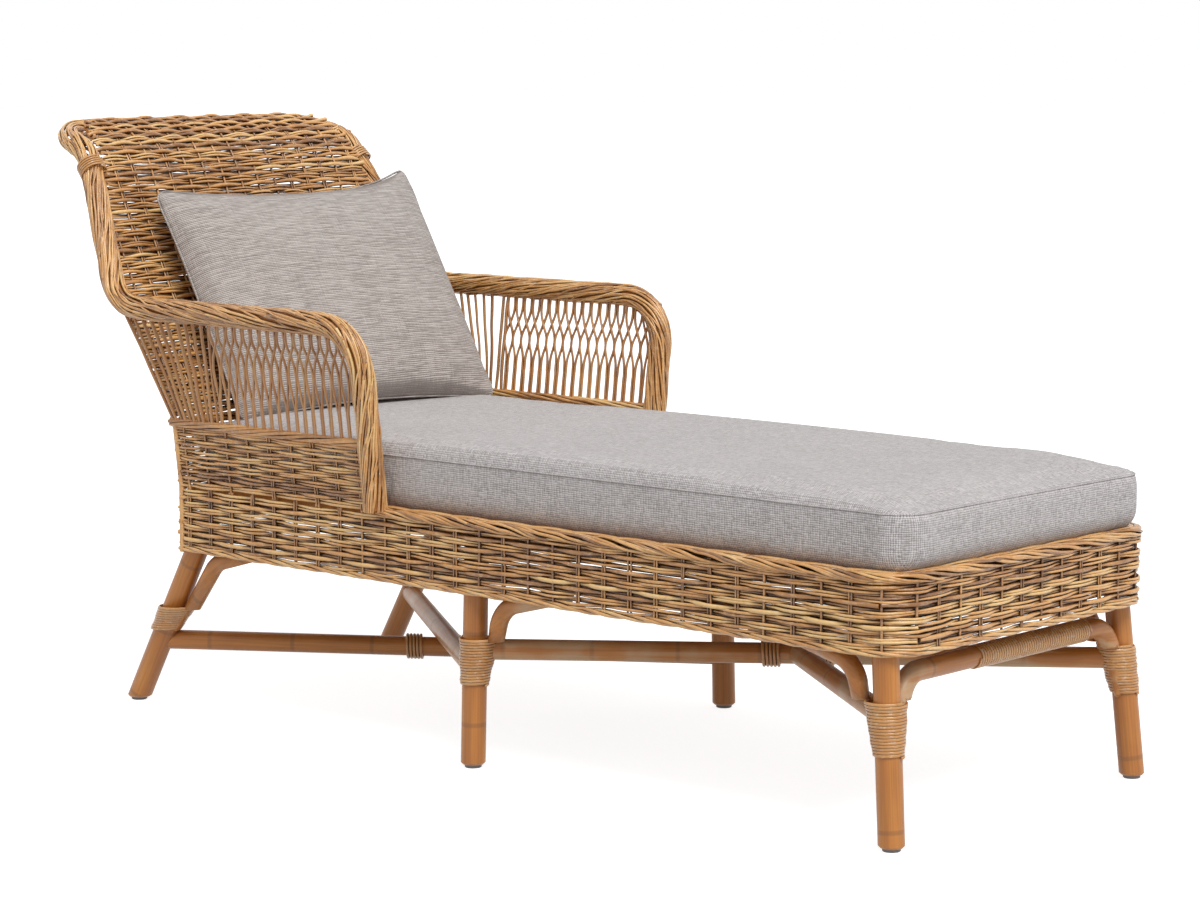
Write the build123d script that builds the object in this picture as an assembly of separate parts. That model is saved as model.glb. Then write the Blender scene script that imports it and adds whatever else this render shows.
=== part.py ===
from build123d import *
import math
import os

# Rattan chaise longue: a woven seat basket on six cane legs, with a raked woven back that rolls
# over at the crest, low arms of diamond lattice, and a loose seat cushion and pillow.
# Millimetres, +X towards the foot end, +Z up, origin on the floor at the middle of the outline.
# Right and left are the sitter's: right is -Y.

# Seat basket
seat_length = 1459.0        # rear face to front face of the weave
seat_width = 650.0          # outside the weave
rim_height = 380.0          # top of the basket above the floor
apron_depth = 112.0         # woven skirt at the sides and the front
rear_apron_depth = 68.0     # the skirt is shallower behind, over the raked legs
corner_radius = 65.0        # front corners, outside the weave
weave_thickness = 12.0      # any woven panel, over its rows of cane
row_pitch = 9.3             # rows of the weave in the skirt and the arms
back_row_pitch = 9.7        # and in the back
row_groove = 3.5            # how far the weave falls in between two rows
fit_gap = 0.4               # room between pieces that touch

# Legs and the poles between them
leg_diameter = 38.0
glide_diameter = 26.0
glide_height = 5.0
foot_chamfer = 3.0
rear_leg_inset = 11.0       # axis ahead of the basket's rear face, at the skirt's lower edge
rear_leg_rake = 29.6        # degrees from upright, foot to the rear
mid_leg_station = 642.0     # axis ahead of the basket's rear face
mid_leg_splay = 1.7         # degrees outwards
front_leg_bearing = 60.0    # degrees round the corner from the front, where the leg stands
front_leg_rake = 5.1        # degrees forwards
front_leg_splay = 2.9       # degrees outwards
stretcher_diameter = 32.0
stretcher_low_rear_end = 109.0      # heights of the axes where they meet the legs
stretcher_low_mid_end = 88.0
stretcher_high_rear_end = 112.0
stretcher_high_mid_end = 152.0
stretcher_front_height = 182.0

# Seat frame hidden in the basket
rim_pole_diameter = 24.0
rim_pole_drop = 2.0         # below the top of the weave
bearer_diameter = 24.0
bearer_half_spacing = 250.0
slat_diameter = 18.0
slat_count = 14
slat_end_margin = 26.0
cross_rail_diameter = 20.0
side_rail_diameter = 20.0
side_rail_height = 305.0

# Bent braces and bound joints
brace_diameter = 19.0
brace_bend = 48.0
brace_lean = 25.0           # how far a brace has left its leg where it bends
brace_knee_height = 252.0
brace_reach = 185.0         # from the leg's axis to the brace's upper end
rear_brace_reach = 150.0
hoop_diameter = 22.0
hoop_height = 237.0
hoop_bend = 46.0
binding_wall = 3.6
binding_flare = 6.0         # extra radius at the top, over the shaved ends of the braces
mid_binding_bottom = 126.0
mid_binding_top = 202.0
front_binding_bottom = 128.0
front_binding_top = 206.0
rear_binding_bottom = 126.0
rear_binding_top = 172.0
wrap_cane = 5.0             # cane wound on the hoop and the crossings
wrap_pitch = 5.6
hoop_wrap_turns = 24
hoop_wrap_shift = 52.0      # middle of the hoop's winding, towards the left leg
crossing_wrap_turns = 5
samples_per_turn = 12

# Arms
arm_height = 667.0          # axis of the arm border
arm_lean = 34.0             # how far the arm stands out at that height
arm_length = 460.0          # basket's rear face to the front post's axis
arm_rear_overhang = 101.0   # border's rear corner behind the basket's rear face
border_diameter = 38.0      # bundled border round the arms and the crest
border_offset = 6.0         # arm border's axis outside the plane of its lattice
core_diameter = 24.0        # pole that the border is bound on
border_bend = 80.0
mid_rail_height = 482.0
mid_rail_diameter = 16.0

# Diamond lattice in each arm
lattice_thickness = 6.0
lattice_margin = 7.0
stake_spacing = 19.5
stake_width = 5.5
strand_width = 4.0
diamond_half_height = 22.0
diamond_levels = 4          # crossings between the split and the arm border

# Back and crest
back_overhang = 347.0       # crest border behind the basket's rear face
back_setback = 206.0        # top of the back's sweep, behind its foot
back_top_height = 880.0
back_hollow = 11.0          # depth of the hollow, on the sitter's side
tie_rise = 5.0              # tie of the side border to the crest border, above the sweep's top
tie_setback = 219.0
tie_half_width = 307.0
crest_rise = 65.0           # axis of the crest border, above the sweep's top
crest_half_width = 300.0
crest_bend = 62.0
crest_panel_rise = 82.0     # rolled edge of the back, above the sweep's top
tie_cane = 6.0
tie_pitch = 6.8
tie_turns = 4

# Cushions
cushion_thickness = 90.0
cushion_side_crown = 8.0
cushion_end_crown = 12.0
cushion_side_clearance = 4.0      # inside the arm posts
cushion_front_setback = 3.0
cushion_corner = 46.0
cushion_draw_in = 4.0
pillow_width = 545.0
pillow_height = 442.0
pillow_thickness = 136.0
pillow_draw_in = 15.0
pillow_corner = 16.0
pillow_lean = 5.0           # degrees further over than the back
pillow_turn = 7.0           # degrees, left end forward
pillow_shift = 18.0         # middle of the pillow, towards the left arm
pillow_rings = 11           # sections from the seam to the crown of either face
soft_gap = 0.3
pillow_mesh_tolerance = 0.05
pillow_mesh_angle = 0.08
settle_rounds = 8

# Places worked out from those sizes
front_x = (seat_length + back_overhang) / 2
rear_x = front_x - seat_length
crest_x = rear_x - back_overhang + border_diameter / 2
half_width = seat_width / 2
inner_half_width = half_width - weave_thickness
apron_bottom = rim_height - apron_depth
leg_radius = leg_diameter / 2
border_radius = border_diameter / 2
rim_pole_height = rim_height - rim_pole_drop - rim_pole_diameter / 2
rim_pole_y = inner_half_width - fit_gap - rim_pole_diameter / 2
rim_pole_front_x = front_x - weave_thickness - fit_gap - rim_pole_diameter / 2
rim_pole_rear_x = rear_x + weave_thickness + fit_gap + rim_pole_diameter / 2
leg_top = rim_pole_height - rim_pole_diameter / 2 - fit_gap
slat_height = rim_height - slat_diameter / 2
bearer_height = slat_height - slat_diameter / 2 - fit_gap - bearer_diameter / 2
cross_rail_height = bearer_height - bearer_diameter / 2 - fit_gap - cross_rail_diameter / 2
post_x = rear_x + arm_length
tie_height = back_top_height + tie_rise
crest_height = back_top_height + crest_rise
crest_panel_height = back_top_height + crest_panel_rise
lean_angle = math.atan2(arm_lean, arm_height - rim_height)
tall = 2000.0               # longer than anything it cuts

os.makedirs("parts", exist_ok=True)


def save(shape, name):
    """Write one sub-part to its own file."""
    export_step(shape, f"parts/{name}.step")


def save_pair(right, name):
    """Write a right-hand piece and its mirror image."""
    save(right, f"{name}_right")
    save(mirror(right, about=Plane.XZ), f"{name}_left")


def pole(start, end, diameter):
    """Straight round pole between two points."""
    start = Vector(start)
    run = Vector(end) - start
    place = Plane(origin=start, z_dir=run)
    return place * Cylinder(diameter / 2, run.length, align=(Align.CENTER, Align.CENTER, Align.MIN))


def bent_pole(points, radius, diameter):
    """Round pole along straight runs joined by tangent arcs."""
    path = FilletPolyline(*points, radius=radius)
    section = Plane(origin=path @ 0, z_dir=path % 0) * Circle(diameter / 2)
    return sweep(section, path=path)


def slab(low, high):
    """Upright-sided block that keeps the heights from low to high."""
    block = Box(2 * tall, 2 * tall, high - low, align=(Align.CENTER, Align.CENTER, Align.MIN))
    return Pos(0, 0, low) * block


# Legs

leg_y = inner_half_width - fit_gap - leg_radius
corner_reach = corner_radius - weave_thickness - fit_gap - leg_radius
corner_center_x = front_x - corner_radius
corner_center_y = half_width - corner_radius
bearing = math.radians(front_leg_bearing)

# Where each right-hand leg passes the skirt's lower edge, and how far it moves out per unit down
leg_lines = {
    "rear": (rear_x + rear_leg_inset, -leg_y, -math.tan(math.radians(rear_leg_rake)), 0.0),
    "mid": (rear_x + mid_leg_station, -leg_y, 0.0, -math.tan(math.radians(mid_leg_splay))),
    "front": (
        corner_center_x + corner_reach * math.cos(bearing),
        -corner_center_y - corner_reach * math.sin(bearing),
        math.tan(math.radians(front_leg_rake)),
        -math.tan(math.radians(front_leg_splay)),
    ),
}


def on_leg(station, side, height):
    """Point on a leg's axis at a height; side is -1 for right and 1 for left."""
    x, y, run_x, run_y = leg_lines[station]
    down = apron_bottom - height
    return Vector(x + run_x * down, -side * (y + run_y * down), height)


def leg_pole(station, side, diameter):
    """Endless pole along a leg's axis, to cut with."""
    return pole(on_leg(station, side, -tall / 4), on_leg(station, side, tall / 4), diameter)


def leg(station, side):
    """Leg from its glide up to the rim pole, cut level at both ends, with an eased foot."""
    blank = leg_pole(station, side, leg_diameter) & slab(glide_height, leg_top)
    foot = blank.faces().sort_by(Axis.Z)[0]
    return chamfer(foot.edges(), foot_chamfer)


def glide(station, side):
    """Turned glide under a foot, with an eased lower edge."""
    at = on_leg(station, side, glide_height)
    body = Cylinder(glide_diameter / 2, glide_height, align=(Align.CENTER, Align.CENTER, Align.MIN))
    body = chamfer(body.faces().sort_by(Axis.Z)[0].edges(), foot_chamfer / 3)
    return Pos(at.X, at.Y, 0) * body


stations = ["rear", "mid", "front"]
glides = []
for station in stations:
    save_pair(leg(station, -1), f"leg_{station}")
    glides += [glide(station, -1), glide(station, 1)]
save(Compound(children=glides), "foot_glides")


# Seat frame: rim poles on the legs, rails between the legs, bearers on the rails, slats on the bearers

def between_legs(first, second, height_first, height_second, diameter):
    """Pole between two legs, each given as (station, side), coped to fit round them."""
    start = on_leg(*first, height_first)
    end = on_leg(*second, height_second)
    blank = pole(start, end, diameter)
    blank = blank - leg_pole(*first, leg_diameter + 2 * fit_gap)
    return blank - leg_pole(*second, leg_diameter + 2 * fit_gap)


for station in stations:
    rail = between_legs((station, -1), (station, 1), cross_rail_height, cross_rail_height,
                        cross_rail_diameter)
    save(rail, f"cross_rail_{station}")

for bay, ends in {"rear": ("rear", "mid"), "front": ("mid", "front")}.items():
    first, second = ends
    rail = between_legs((first, -1), (second, -1), side_rail_height, side_rail_height, side_rail_diameter)
    save_pair(rail, f"side_rail_{bay}")

rim_bend = corner_radius - weave_thickness - fit_gap - rim_pole_diameter / 2
rim_joint_x = corner_center_x - fit_gap
rim_end_x = rim_pole_rear_x - rim_pole_diameter / 2
rim_side = pole((rim_end_x, -rim_pole_y, rim_pole_height), (rim_joint_x, -rim_pole_y, rim_pole_height),
                rim_pole_diameter)
save_pair(rim_side, "rim_pole")

rim_front = bent_pole(
    [(corner_center_x, -rim_pole_y, rim_pole_height),
     (rim_pole_front_x, -rim_pole_y, rim_pole_height),
     (rim_pole_front_x, rim_pole_y, rim_pole_height),
     (corner_center_x, rim_pole_y, rim_pole_height)],
    rim_bend - fit_gap, rim_pole_diameter)
save(rim_front, "rim_pole_front")

rim_rear_end = rim_pole_y - rim_pole_diameter / 2 - fit_gap
rim_rear = pole((rim_pole_rear_x, -rim_rear_end, rim_pole_height),
                (rim_pole_rear_x, rim_rear_end, rim_pole_height), rim_pole_diameter)
save(rim_rear, "rim_pole_rear")

bearer_rear_x = rim_pole_rear_x + rim_pole_diameter / 2 + fit_gap
bearer_front_x = rim_pole_front_x - rim_pole_diameter / 2 - fit_gap
bearer = pole((bearer_rear_x, -bearer_half_spacing, bearer_height),
              (bearer_front_x, -bearer_half_spacing, bearer_height), bearer_diameter)
save_pair(bearer, "seat_bearer")

slat_end = rim_pole_y - rim_pole_diameter / 2 - fit_gap
slat_run = bearer_front_x - bearer_rear_x - 2 * slat_end_margin
slats = []
for index in range(slat_count):
    slat_x = bearer_rear_x + slat_end_margin + slat_run * index / (slat_count - 1)
    slats.append(pole((slat_x, -slat_end, slat_height), (slat_x, slat_end, slat_height), slat_diameter))
save(Compound(children=slats), "seat_slats")


# Stretchers: a crossed pair in each bay, one over the other behind and lapped at one height in front

stretcher_low = between_legs(("rear", -1), ("mid", 1), stretcher_low_rear_end, stretcher_low_mid_end,
                             stretcher_diameter)
stretcher_high = between_legs(("rear", 1), ("mid", -1), stretcher_high_rear_end, stretcher_high_mid_end,
                              stretcher_diameter)


def lapped(first, second, crossed_first, crossed_second, keep):
    """Front stretcher with half its thickness cut away where it crosses the other."""
    blank = between_legs(first, second, stretcher_front_height, stretcher_front_height, stretcher_diameter)
    start = on_leg(*crossed_first, stretcher_front_height)
    end = on_leg(*crossed_second, stretcher_front_height)
    other = pole(start, end, stretcher_diameter + fit_gap)
    half = slab(stretcher_front_height, tall) if keep == "lower" else slab(-tall, stretcher_front_height)
    return blank - (other & half)


diagonal_a = (("mid", -1), ("front", 1))
diagonal_b = (("mid", 1), ("front", -1))
stretcher_front_a = lapped(*diagonal_a, *diagonal_b, "lower")
stretcher_front_b = lapped(*diagonal_b, *diagonal_a, "upper")
save(stretcher_low, "stretcher_rear_lower")
save(stretcher_high, "stretcher_rear_upper")
save(stretcher_front_a, "stretcher_front_a")
save(stretcher_front_b, "stretcher_front_b")
stretchers = [stretcher_low, stretcher_high, stretcher_front_a, stretcher_front_b]


# Windings: cane wound round a straight pole as one unbroken tube

def winding(center, axis, radius, cane, pitch, turns):
    """Cane wound in turns about an axis through a centre, on biarcs of half a turn."""
    frame = Plane(origin=center, z_dir=axis)
    half_turns = 2 * turns
    climb = pitch / (2 * math.pi)

    def at(angle):
        height = climb * angle - turns * pitch / 2
        return Vector(radius * math.cos(angle), radius * math.sin(angle), height)

    def heading(angle):
        return Vector(-radius * math.sin(angle), radius * math.cos(angle), climb).normalized()

    edges = [Edge.make_line(at(0) - heading(0) * cane, at(0))]
    for half in range(half_turns):
        start, end = at(half * math.pi), at((half + 1) * math.pi)
        leave, arrive = heading(half * math.pi), heading((half + 1) * math.pi)
        chord = end - start
        pull = chord.dot(leave + arrive)
        spread = 2 * (1 - leave.dot(arrive))
        reach = (-pull + math.sqrt(pull * pull + spread * chord.dot(chord))) / spread
        joint = (start + leave * reach + end - arrive * reach) * 0.5
        edges.append(Edge.make_tangent_arc(start, leave, joint))
        meet = edges[-1] % 1
        edges.append(Edge.make_tangent_arc(joint, meet, end))
    last = half_turns * math.pi
    edges.append(Edge.make_line(at(last), at(last) + heading(last) * cane))
    path = Wire(edges)
    section = Plane(origin=path @ 0, z_dir=path % 0) * Circle(cane / 2)
    end_share = cane / path.length
    places = samples_per_turn * turns
    samples = [path @ (end_share + (1 - 2 * end_share) * place / places) for place in range(places + 1)]
    pairs = zip(samples, samples[samples_per_turn:])
    least = min((after - before).length for before, after in pairs) - cane
    print(f"winding of {turns} turns: least gap to itself {least:.2f} mm")
    return frame * sweep(section, path=path)


hoop_end_y = on_leg("front", 1, front_binding_bottom).Y - leg_radius - fit_gap - hoop_diameter / 2
hoop_top_y = on_leg("front", 1, hoop_height).Y - leg_radius - fit_gap - hoop_diameter / 2
hoop_low_x = on_leg("front", 1, front_binding_bottom).X
hoop_x = on_leg("front", 1, hoop_height).X
hoop_points = [
    (hoop_low_x, -hoop_end_y, front_binding_bottom),
    (hoop_x, -hoop_top_y, hoop_height),
    (hoop_x, hoop_top_y, hoop_height),
    (hoop_low_x, hoop_end_y, front_binding_bottom),
]
hoop_blank = bent_pole(hoop_points, hoop_bend, hoop_diameter)
wrap_radius = hoop_diameter / 2 + soft_gap + wrap_cane / 2
wrap_offset = (hoop_wrap_turns * wrap_pitch + wrap_cane + fit_gap) / 2
hoop_wraps = []
for side in (-1, 1):
    center = (hoop_x, hoop_wrap_shift + side * wrap_offset, hoop_height)
    hoop_wraps.append(winding(center, (0, 1, 0), wrap_radius, wrap_cane, wrap_pitch, hoop_wrap_turns))
save(Compound(children=hoop_wraps), "hoop_wrap")


def crossing_wrap(first, second, height_first, height_second, crossed_width):
    """Two short windings on a stretcher, one on each side of the pole that crosses it."""
    start = on_leg(*first, height_first)
    end = on_leg(*second, height_second)
    run = (end - start).normalized()
    middle = start + run * ((0 - start.Y) / run.Y)
    step = crossed_width + crossing_wrap_turns * wrap_pitch / 2 + 2 * wrap_cane
    radius = stretcher_diameter / 2 + soft_gap + wrap_cane / 2
    coils = []
    for direction in (-1, 1):
        coils.append(winding(middle + run * (direction * step), run, radius, wrap_cane, wrap_pitch,
                             crossing_wrap_turns))
    return Compound(children=coils)


crossed_half = stretcher_diameter / 2 + fit_gap
save(crossing_wrap(("rear", -1), ("mid", 1), stretcher_low_rear_end, stretcher_low_mid_end, crossed_half),
     "crossing_wrap_rear")
save(crossing_wrap(*diagonal_a, stretcher_front_height, stretcher_front_height, crossed_half),
     "crossing_wrap_front")


# Braces: bent canes from each leg up under the side rail, shaved below to lie under the leg's binding

brace_end_height = side_rail_height - (side_rail_diameter + brace_diameter) / 2 - fit_gap
brace_offset = leg_radius + fit_gap + brace_diameter / 2


def brace_blank(station, direction, low, reach):
    """Bent brace beside a right-hand leg; direction is 1 forwards or -1 back."""
    rake = math.hypot(1, leg_lines[station][2])
    beside = brace_offset * rake
    start = on_leg(station, -1, low) + Vector(direction * beside, 0, 0)
    knee = on_leg(station, -1, brace_knee_height) + Vector(direction * (beside + brace_lean), 0, 0)
    top = on_leg(station, -1, side_rail_height) + Vector(direction * reach, 0, 0)
    return bent_pole([start, knee, (top.X, top.Y, brace_end_height)], brace_bend, brace_diameter)


def binding_cone(station, low, high, toward, wall):
    """Solid that a leg binding fills: round the leg below, wider above towards its braces."""
    outline = []
    for height, flare in ((low, 0.0), (high, binding_flare)):
        center = on_leg(station, -1, height) + Vector(toward) * flare
        radius = leg_radius * math.hypot(1, leg_lines[station][2]) + fit_gap + wall + flare
        outline.append(Pos(center.X, center.Y, center.Z) * Circle(radius))
    return loft(outline)


def shaved(blank, station, low, high, toward):
    """Brace end cut back to fit between its leg and the binding."""
    zone = slab(low, high) - binding_cone(station, low, high, toward, 0.0)
    near_leg = Pos(*on_leg(station, -1, (low + high) / 2)) * Box(6 * leg_diameter, 6 * leg_diameter, tall)
    blank = blank - (zone & near_leg)
    return blank - leg_pole(station, -1, leg_diameter + 2 * fit_gap)


def largest(shape):
    """The main piece, without chips left by a cut."""
    return shape.solids().sort_by(SortBy.VOLUME)[-1]


diagonal = math.sqrt(0.5)
bindings = {
    "rear": (rear_binding_bottom, rear_binding_top, (1, 0, 0)),
    "mid": (mid_binding_bottom, mid_binding_top, (1, 0, 0)),
    "front": (front_binding_bottom, front_binding_top, (-diagonal, diagonal, 0)),
}
brace_shapes = {
    "rear": brace_blank("rear", 1, rear_binding_bottom, rear_brace_reach),
    "mid": brace_blank("mid", 1, mid_binding_bottom, brace_reach),
    "front": brace_blank("front", -1, front_binding_bottom, brace_reach),
}

hoop = hoop_blank
low, high, toward = bindings["front"]
hoop_right = shaved(hoop, "front", low, high, toward)
hoop = largest(hoop_right & mirror(hoop_right, about=Plane.XZ))
for stretcher in stretchers:
    hoop = hoop - stretcher
hoop = largest(hoop)
save(hoop, "front_hoop")

leg_bindings = []
for station in stations:
    low, high, toward = bindings[station]
    brace = shaved(brace_shapes[station], station, low, high, toward)
    for stretcher in stretchers:
        brace = brace - stretcher - mirror(stretcher, about=Plane.XZ)
    brace = largest(brace)
    save_pair(brace, f"brace_{station}")
    collar = binding_cone(station, low, high, toward, binding_wall)
    collar = collar - leg_pole(station, -1, leg_diameter + fit_gap) - brace - hoop
    left_collar = mirror(collar, about=Plane.XZ)
    for stretcher in stretchers:
        collar = collar - stretcher
        left_collar = left_collar - stretcher
    leg_bindings += [largest(collar), largest(left_collar)]
save(Compound(children=leg_bindings), "leg_bindings")


# Woven skirt of the basket

def woven_section(line, along_rows, pitch):
    """Section of a woven panel up a line: each row of cane swells on both faces."""
    count = max(1, round(line.length / pitch))
    valley = weave_thickness / 2 - row_groove

    def beside(row, away):
        walk = line.length * row / count
        across = line.tangent_at(walk, position_mode=PositionMode.LENGTH).cross(Vector(along_rows))
        return line.position_at(walk, position_mode=PositionMode.LENGTH) + across * away

    edges = [Line(beside(end, valley), beside(end, -valley)).edge() for end in (0, count)]
    for crest in (weave_thickness / 2, -weave_thickness / 2):
        foot = math.copysign(valley, crest)
        for row in range(count):
            swell = ThreePointArc(beside(row, foot), beside(row + 0.5, crest), beside(row + 1, foot))
            edges.append(swell.edge())
    return make_face(edges)


weave_y = half_width - weave_thickness / 2
side_upright = Line((rear_x, -weave_y, apron_bottom), (rear_x, -weave_y, rim_height)).edge()
side_length = corner_center_x - fit_gap - rear_x
apron_side = extrude(woven_section(side_upright, (1, 0, 0), row_pitch), side_length, dir=(1, 0, 0))
save_pair(apron_side, "apron")

weave_bend = corner_radius - weave_thickness / 2
bend_y = weave_y - weave_bend
first_bend = Pos(corner_center_x, -bend_y, apron_bottom) * CenterArc((0, 0), weave_bend, -90, 90)
last_bend = Pos(corner_center_x, bend_y, apron_bottom) * CenterArc((0, 0), weave_bend, 0, 90)
front_path = Wire([first_bend.edge(), Line(first_bend @ 1, last_bend @ 0).edge(), last_bend.edge()])
front_upright = Line(front_path @ 0, front_path @ 0 + Vector(0, 0, apron_depth)).edge()
save(sweep(woven_section(front_upright, (1, 0, 0), row_pitch), path=front_path), "apron_front")


# Arms: built in the leaning plane of the right-hand arm

arm_plane = Plane(
    origin=(0, -weave_y, rim_height),
    x_dir=(1, 0, 0),
    z_dir=(0, -math.cos(lean_angle), -math.sin(lean_angle)),
)


def up_arm(height):
    """Distance up the leaning plane to a height."""
    return (height - rim_height) / math.cos(lean_angle)


def arm_y(height):
    """How far the middle of an arm stands from the centre line at a height."""
    return weave_y + (height - rim_height) * math.tan(lean_angle)


def on_arm(x, height, outwards=0.0):
    """Point on the right-hand arm's plane, or outside it."""
    return Vector(x, -arm_y(height) - outwards, height)


tie_point = Vector(rear_x - tie_setback, -tie_half_width, tie_height)
arm_corner = on_arm(rear_x - arm_rear_overhang, arm_height, border_offset)
post_top = on_arm(post_x, arm_height, border_offset)
post_foot = on_arm(post_x, rim_height - border_diameter, border_offset)
crest_corner = Vector(crest_x, -crest_half_width, crest_height)
rise = (tie_point - arm_corner).normalized()
roll = (crest_corner - tie_point).normalized()
side_points = [tie_point + rise * border_diameter, arm_corner, post_top, post_foot]
crest_points = [
    tie_point - roll * border_diameter,
    crest_corner,
    Vector(crest_corner.X, crest_half_width, crest_height),
    Vector(tie_point.X, tie_half_width, tie_height) - Vector(roll.X, -roll.Y, roll.Z) * border_diameter,
]
mitre_normal = (rise + roll).normalized()


def half_space(origin, normal):
    """Large block on the side of a plane that its normal points to."""
    block = Box(tall, tall, tall, align=(Align.CENTER, Align.CENTER, Align.MIN))
    return Plane(origin=origin, z_dir=normal) * block


def side_tube(diameter):
    """Right-hand border or its core, cut at the mitre above and level on the rim below."""
    tube = bent_pole(side_points, border_bend, diameter)
    tube = tube - half_space(tie_point - mitre_normal * (fit_gap / 2), mitre_normal)
    return tube & slab(rim_height + fit_gap, tall)


def crest_tube(diameter):
    """Crest border or its core, cut at both mitres."""
    tube = bent_pole(crest_points, crest_bend, diameter)
    cut = half_space(tie_point + mitre_normal * (fit_gap / 2), mitre_normal * -1)
    return tube - cut - mirror(cut, about=Plane.XZ)


bore = core_diameter + 2 * fit_gap
side_border_solid = side_tube(border_diameter)
crest_border_solid = crest_tube(border_diameter)
save_pair(side_tube(core_diameter), "arm_pole")
save_pair(side_border_solid - bent_pole(side_points, border_bend, bore), "arm_border")
save(crest_tube(core_diameter), "crest_pole")
save(crest_border_solid - bent_pole(crest_points, crest_bend, bore), "crest_border")

half_turn = math.acos(mitre_normal.dot(rise))
tie_reach = tie_turns * tie_pitch / 2 + tie_cane
tie_bore = border_radius / math.cos(half_turn) + tie_reach * math.tan(half_turn) + soft_gap
tie = winding(tie_point, mitre_normal, tie_bore + tie_cane / 2, tie_cane, tie_pitch, tie_turns)
save_pair(tie, "crest_tie")
tie_outside = tie_bore + tie_cane + fit_gap
tie_half = mitre_normal * (tie_reach + fit_gap)
tie_room = pole(tie_point - tie_half, tie_point + tie_half, 2 * tie_outside)

panel_front = post_x - border_radius - fit_gap
mid_rail = pole(on_arm(rear_x, mid_rail_height), on_arm(panel_front, mid_rail_height), mid_rail_diameter)
save_pair(mid_rail, "arm_mid_rail")

weave_low = fit_gap + weave_thickness / 2 * math.tan(lean_angle)
weave_high = up_arm(mid_rail_height) - mid_rail_diameter / 2 - fit_gap
arm_upright = Line((rear_x, weave_low, 0), (rear_x, weave_high, 0)).edge()
arm_weave = extrude(woven_section(arm_upright, (1, 0, 0), row_pitch), panel_front - rear_x, dir=(1, 0, 0))
save_pair(arm_plane * arm_weave, "arm_weave")


# Back panel: a shallow hollow sweep that rolls over into the crest

back_foot_z = mid_rail_height + mid_rail_diameter / 2 + fit_gap
back_foot = Vector(rear_x + weave_thickness / 2, 0, back_foot_z - fit_gap)
back_top = Vector(back_foot.X - back_setback, 0, back_top_height)
back_chord = (back_top - back_foot).normalized()
back_normal = Vector(back_chord.Z, 0, -back_chord.X)
back_middle = (back_foot + back_top) * 0.5 - back_normal * back_hollow
sweep_line = ThreePointArc(back_foot, back_middle, back_top)
crest_inner_x = crest_x + border_radius + fit_gap
crest_line = TangentArc(back_top, Vector(crest_inner_x, 0, crest_panel_height), tangent=sweep_line % 1)
back_path = Wire([sweep_line.edge(), crest_line.edge()])
back_section = woven_section(back_path, (0, 1, 0), back_row_pitch)
back_blank = extrude(back_section, half_width + border_diameter, dir=(0, 1, 0), both=True)

# The back fits between the arms, then between the side borders, then inside the crest border
edge_room = mid_rail_diameter / 2 + fit_gap
border_slant = math.atan2(arm_corner.Y - tie_point.Y, tie_height - arm_height)
border_room = border_radius / math.cos(border_slant) + fit_gap
rail_under = arm_height - border_radius
rail_room = min(arm_y(rail_under) - edge_room, -arm_corner.Y - border_room)
edge_points = [
    (arm_y(back_foot_z) - edge_room, back_foot_z - border_diameter),
    (rail_room, rail_under),
    (-arm_corner.Y - border_room, arm_height),
    (tie_half_width - border_room, tie_height),
    (tie_half_width - border_room, tall),
]
left_edge = [(-y, z) for y, z in reversed(edge_points)]
back_outline = make_face(Polyline(*edge_points, *left_edge, close=True))
back_outline = Plane(origin=(-tall, 0, 0), x_dir=(0, 1, 0), z_dir=(1, 0, 0)) * back_outline
crest_inner_half = crest_half_width - border_radius - fit_gap
crest_inner_bend = crest_bend - border_radius - fit_gap
crest_keep = make_face(FilletPolyline(
    (crest_inner_x, -crest_inner_half), (crest_inner_x, crest_inner_half),
    (tall, crest_inner_half), (tall, -crest_inner_half),
    radius=[crest_inner_bend, crest_inner_bend, 0, 0], close=True))
shoulder = slab(tie_height, tall) - extrude(crest_keep, tall)
back_panel = (back_blank & extrude(back_outline, 2 * tall)) - shoulder
back_panel = back_panel - tie_room - mirror(tie_room, about=Plane.XZ)

back_rail_end = arm_y(mid_rail_height) - mid_rail_diameter / 2 - fit_gap
back_rail_left = (back_foot.X, back_rail_end, mid_rail_height)
back_rail_right = (back_foot.X, -back_rail_end, mid_rail_height)
save(pole(back_rail_right, back_rail_left, mid_rail_diameter), "back_lower_rail")

rail_seat = slab(-tall, mid_rail_height + mid_rail_diameter / 2 + fit_gap)
back_panel = largest(back_panel - rail_seat)
save(back_panel, "back_panel")

rear_low = rim_height - rear_apron_depth
rear_high = mid_rail_height - mid_rail_diameter / 2 - fit_gap
rear_low_y = inner_half_width - fit_gap
rear_high_y = arm_y(rear_high) - weave_thickness / 2 / math.cos(lean_angle) - fit_gap
rear_face = make_face(Polyline(
    (-rear_low_y, rear_low), (rear_low_y, rear_low), (rear_low_y, rim_height), (rear_high_y, rear_high),
    (-rear_high_y, rear_high), (-rear_low_y, rim_height), close=True))
rear_face = Plane(origin=(rear_x, 0, 0), x_dir=(0, 1, 0), z_dir=(1, 0, 0)) * rear_face
rear_upright = Line((back_foot.X, 0, rear_low), (back_foot.X, 0, rear_high)).edge()
rear_section = woven_section(rear_upright, (0, 1, 0), row_pitch)
rear_rows = extrude(rear_section, half_width, dir=(0, 1, 0), both=True)
save(rear_rows & extrude(rear_face, weave_thickness), "apron_rear")


# Diamond lattice: straight stakes that split into crossing strands under the arm border

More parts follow.
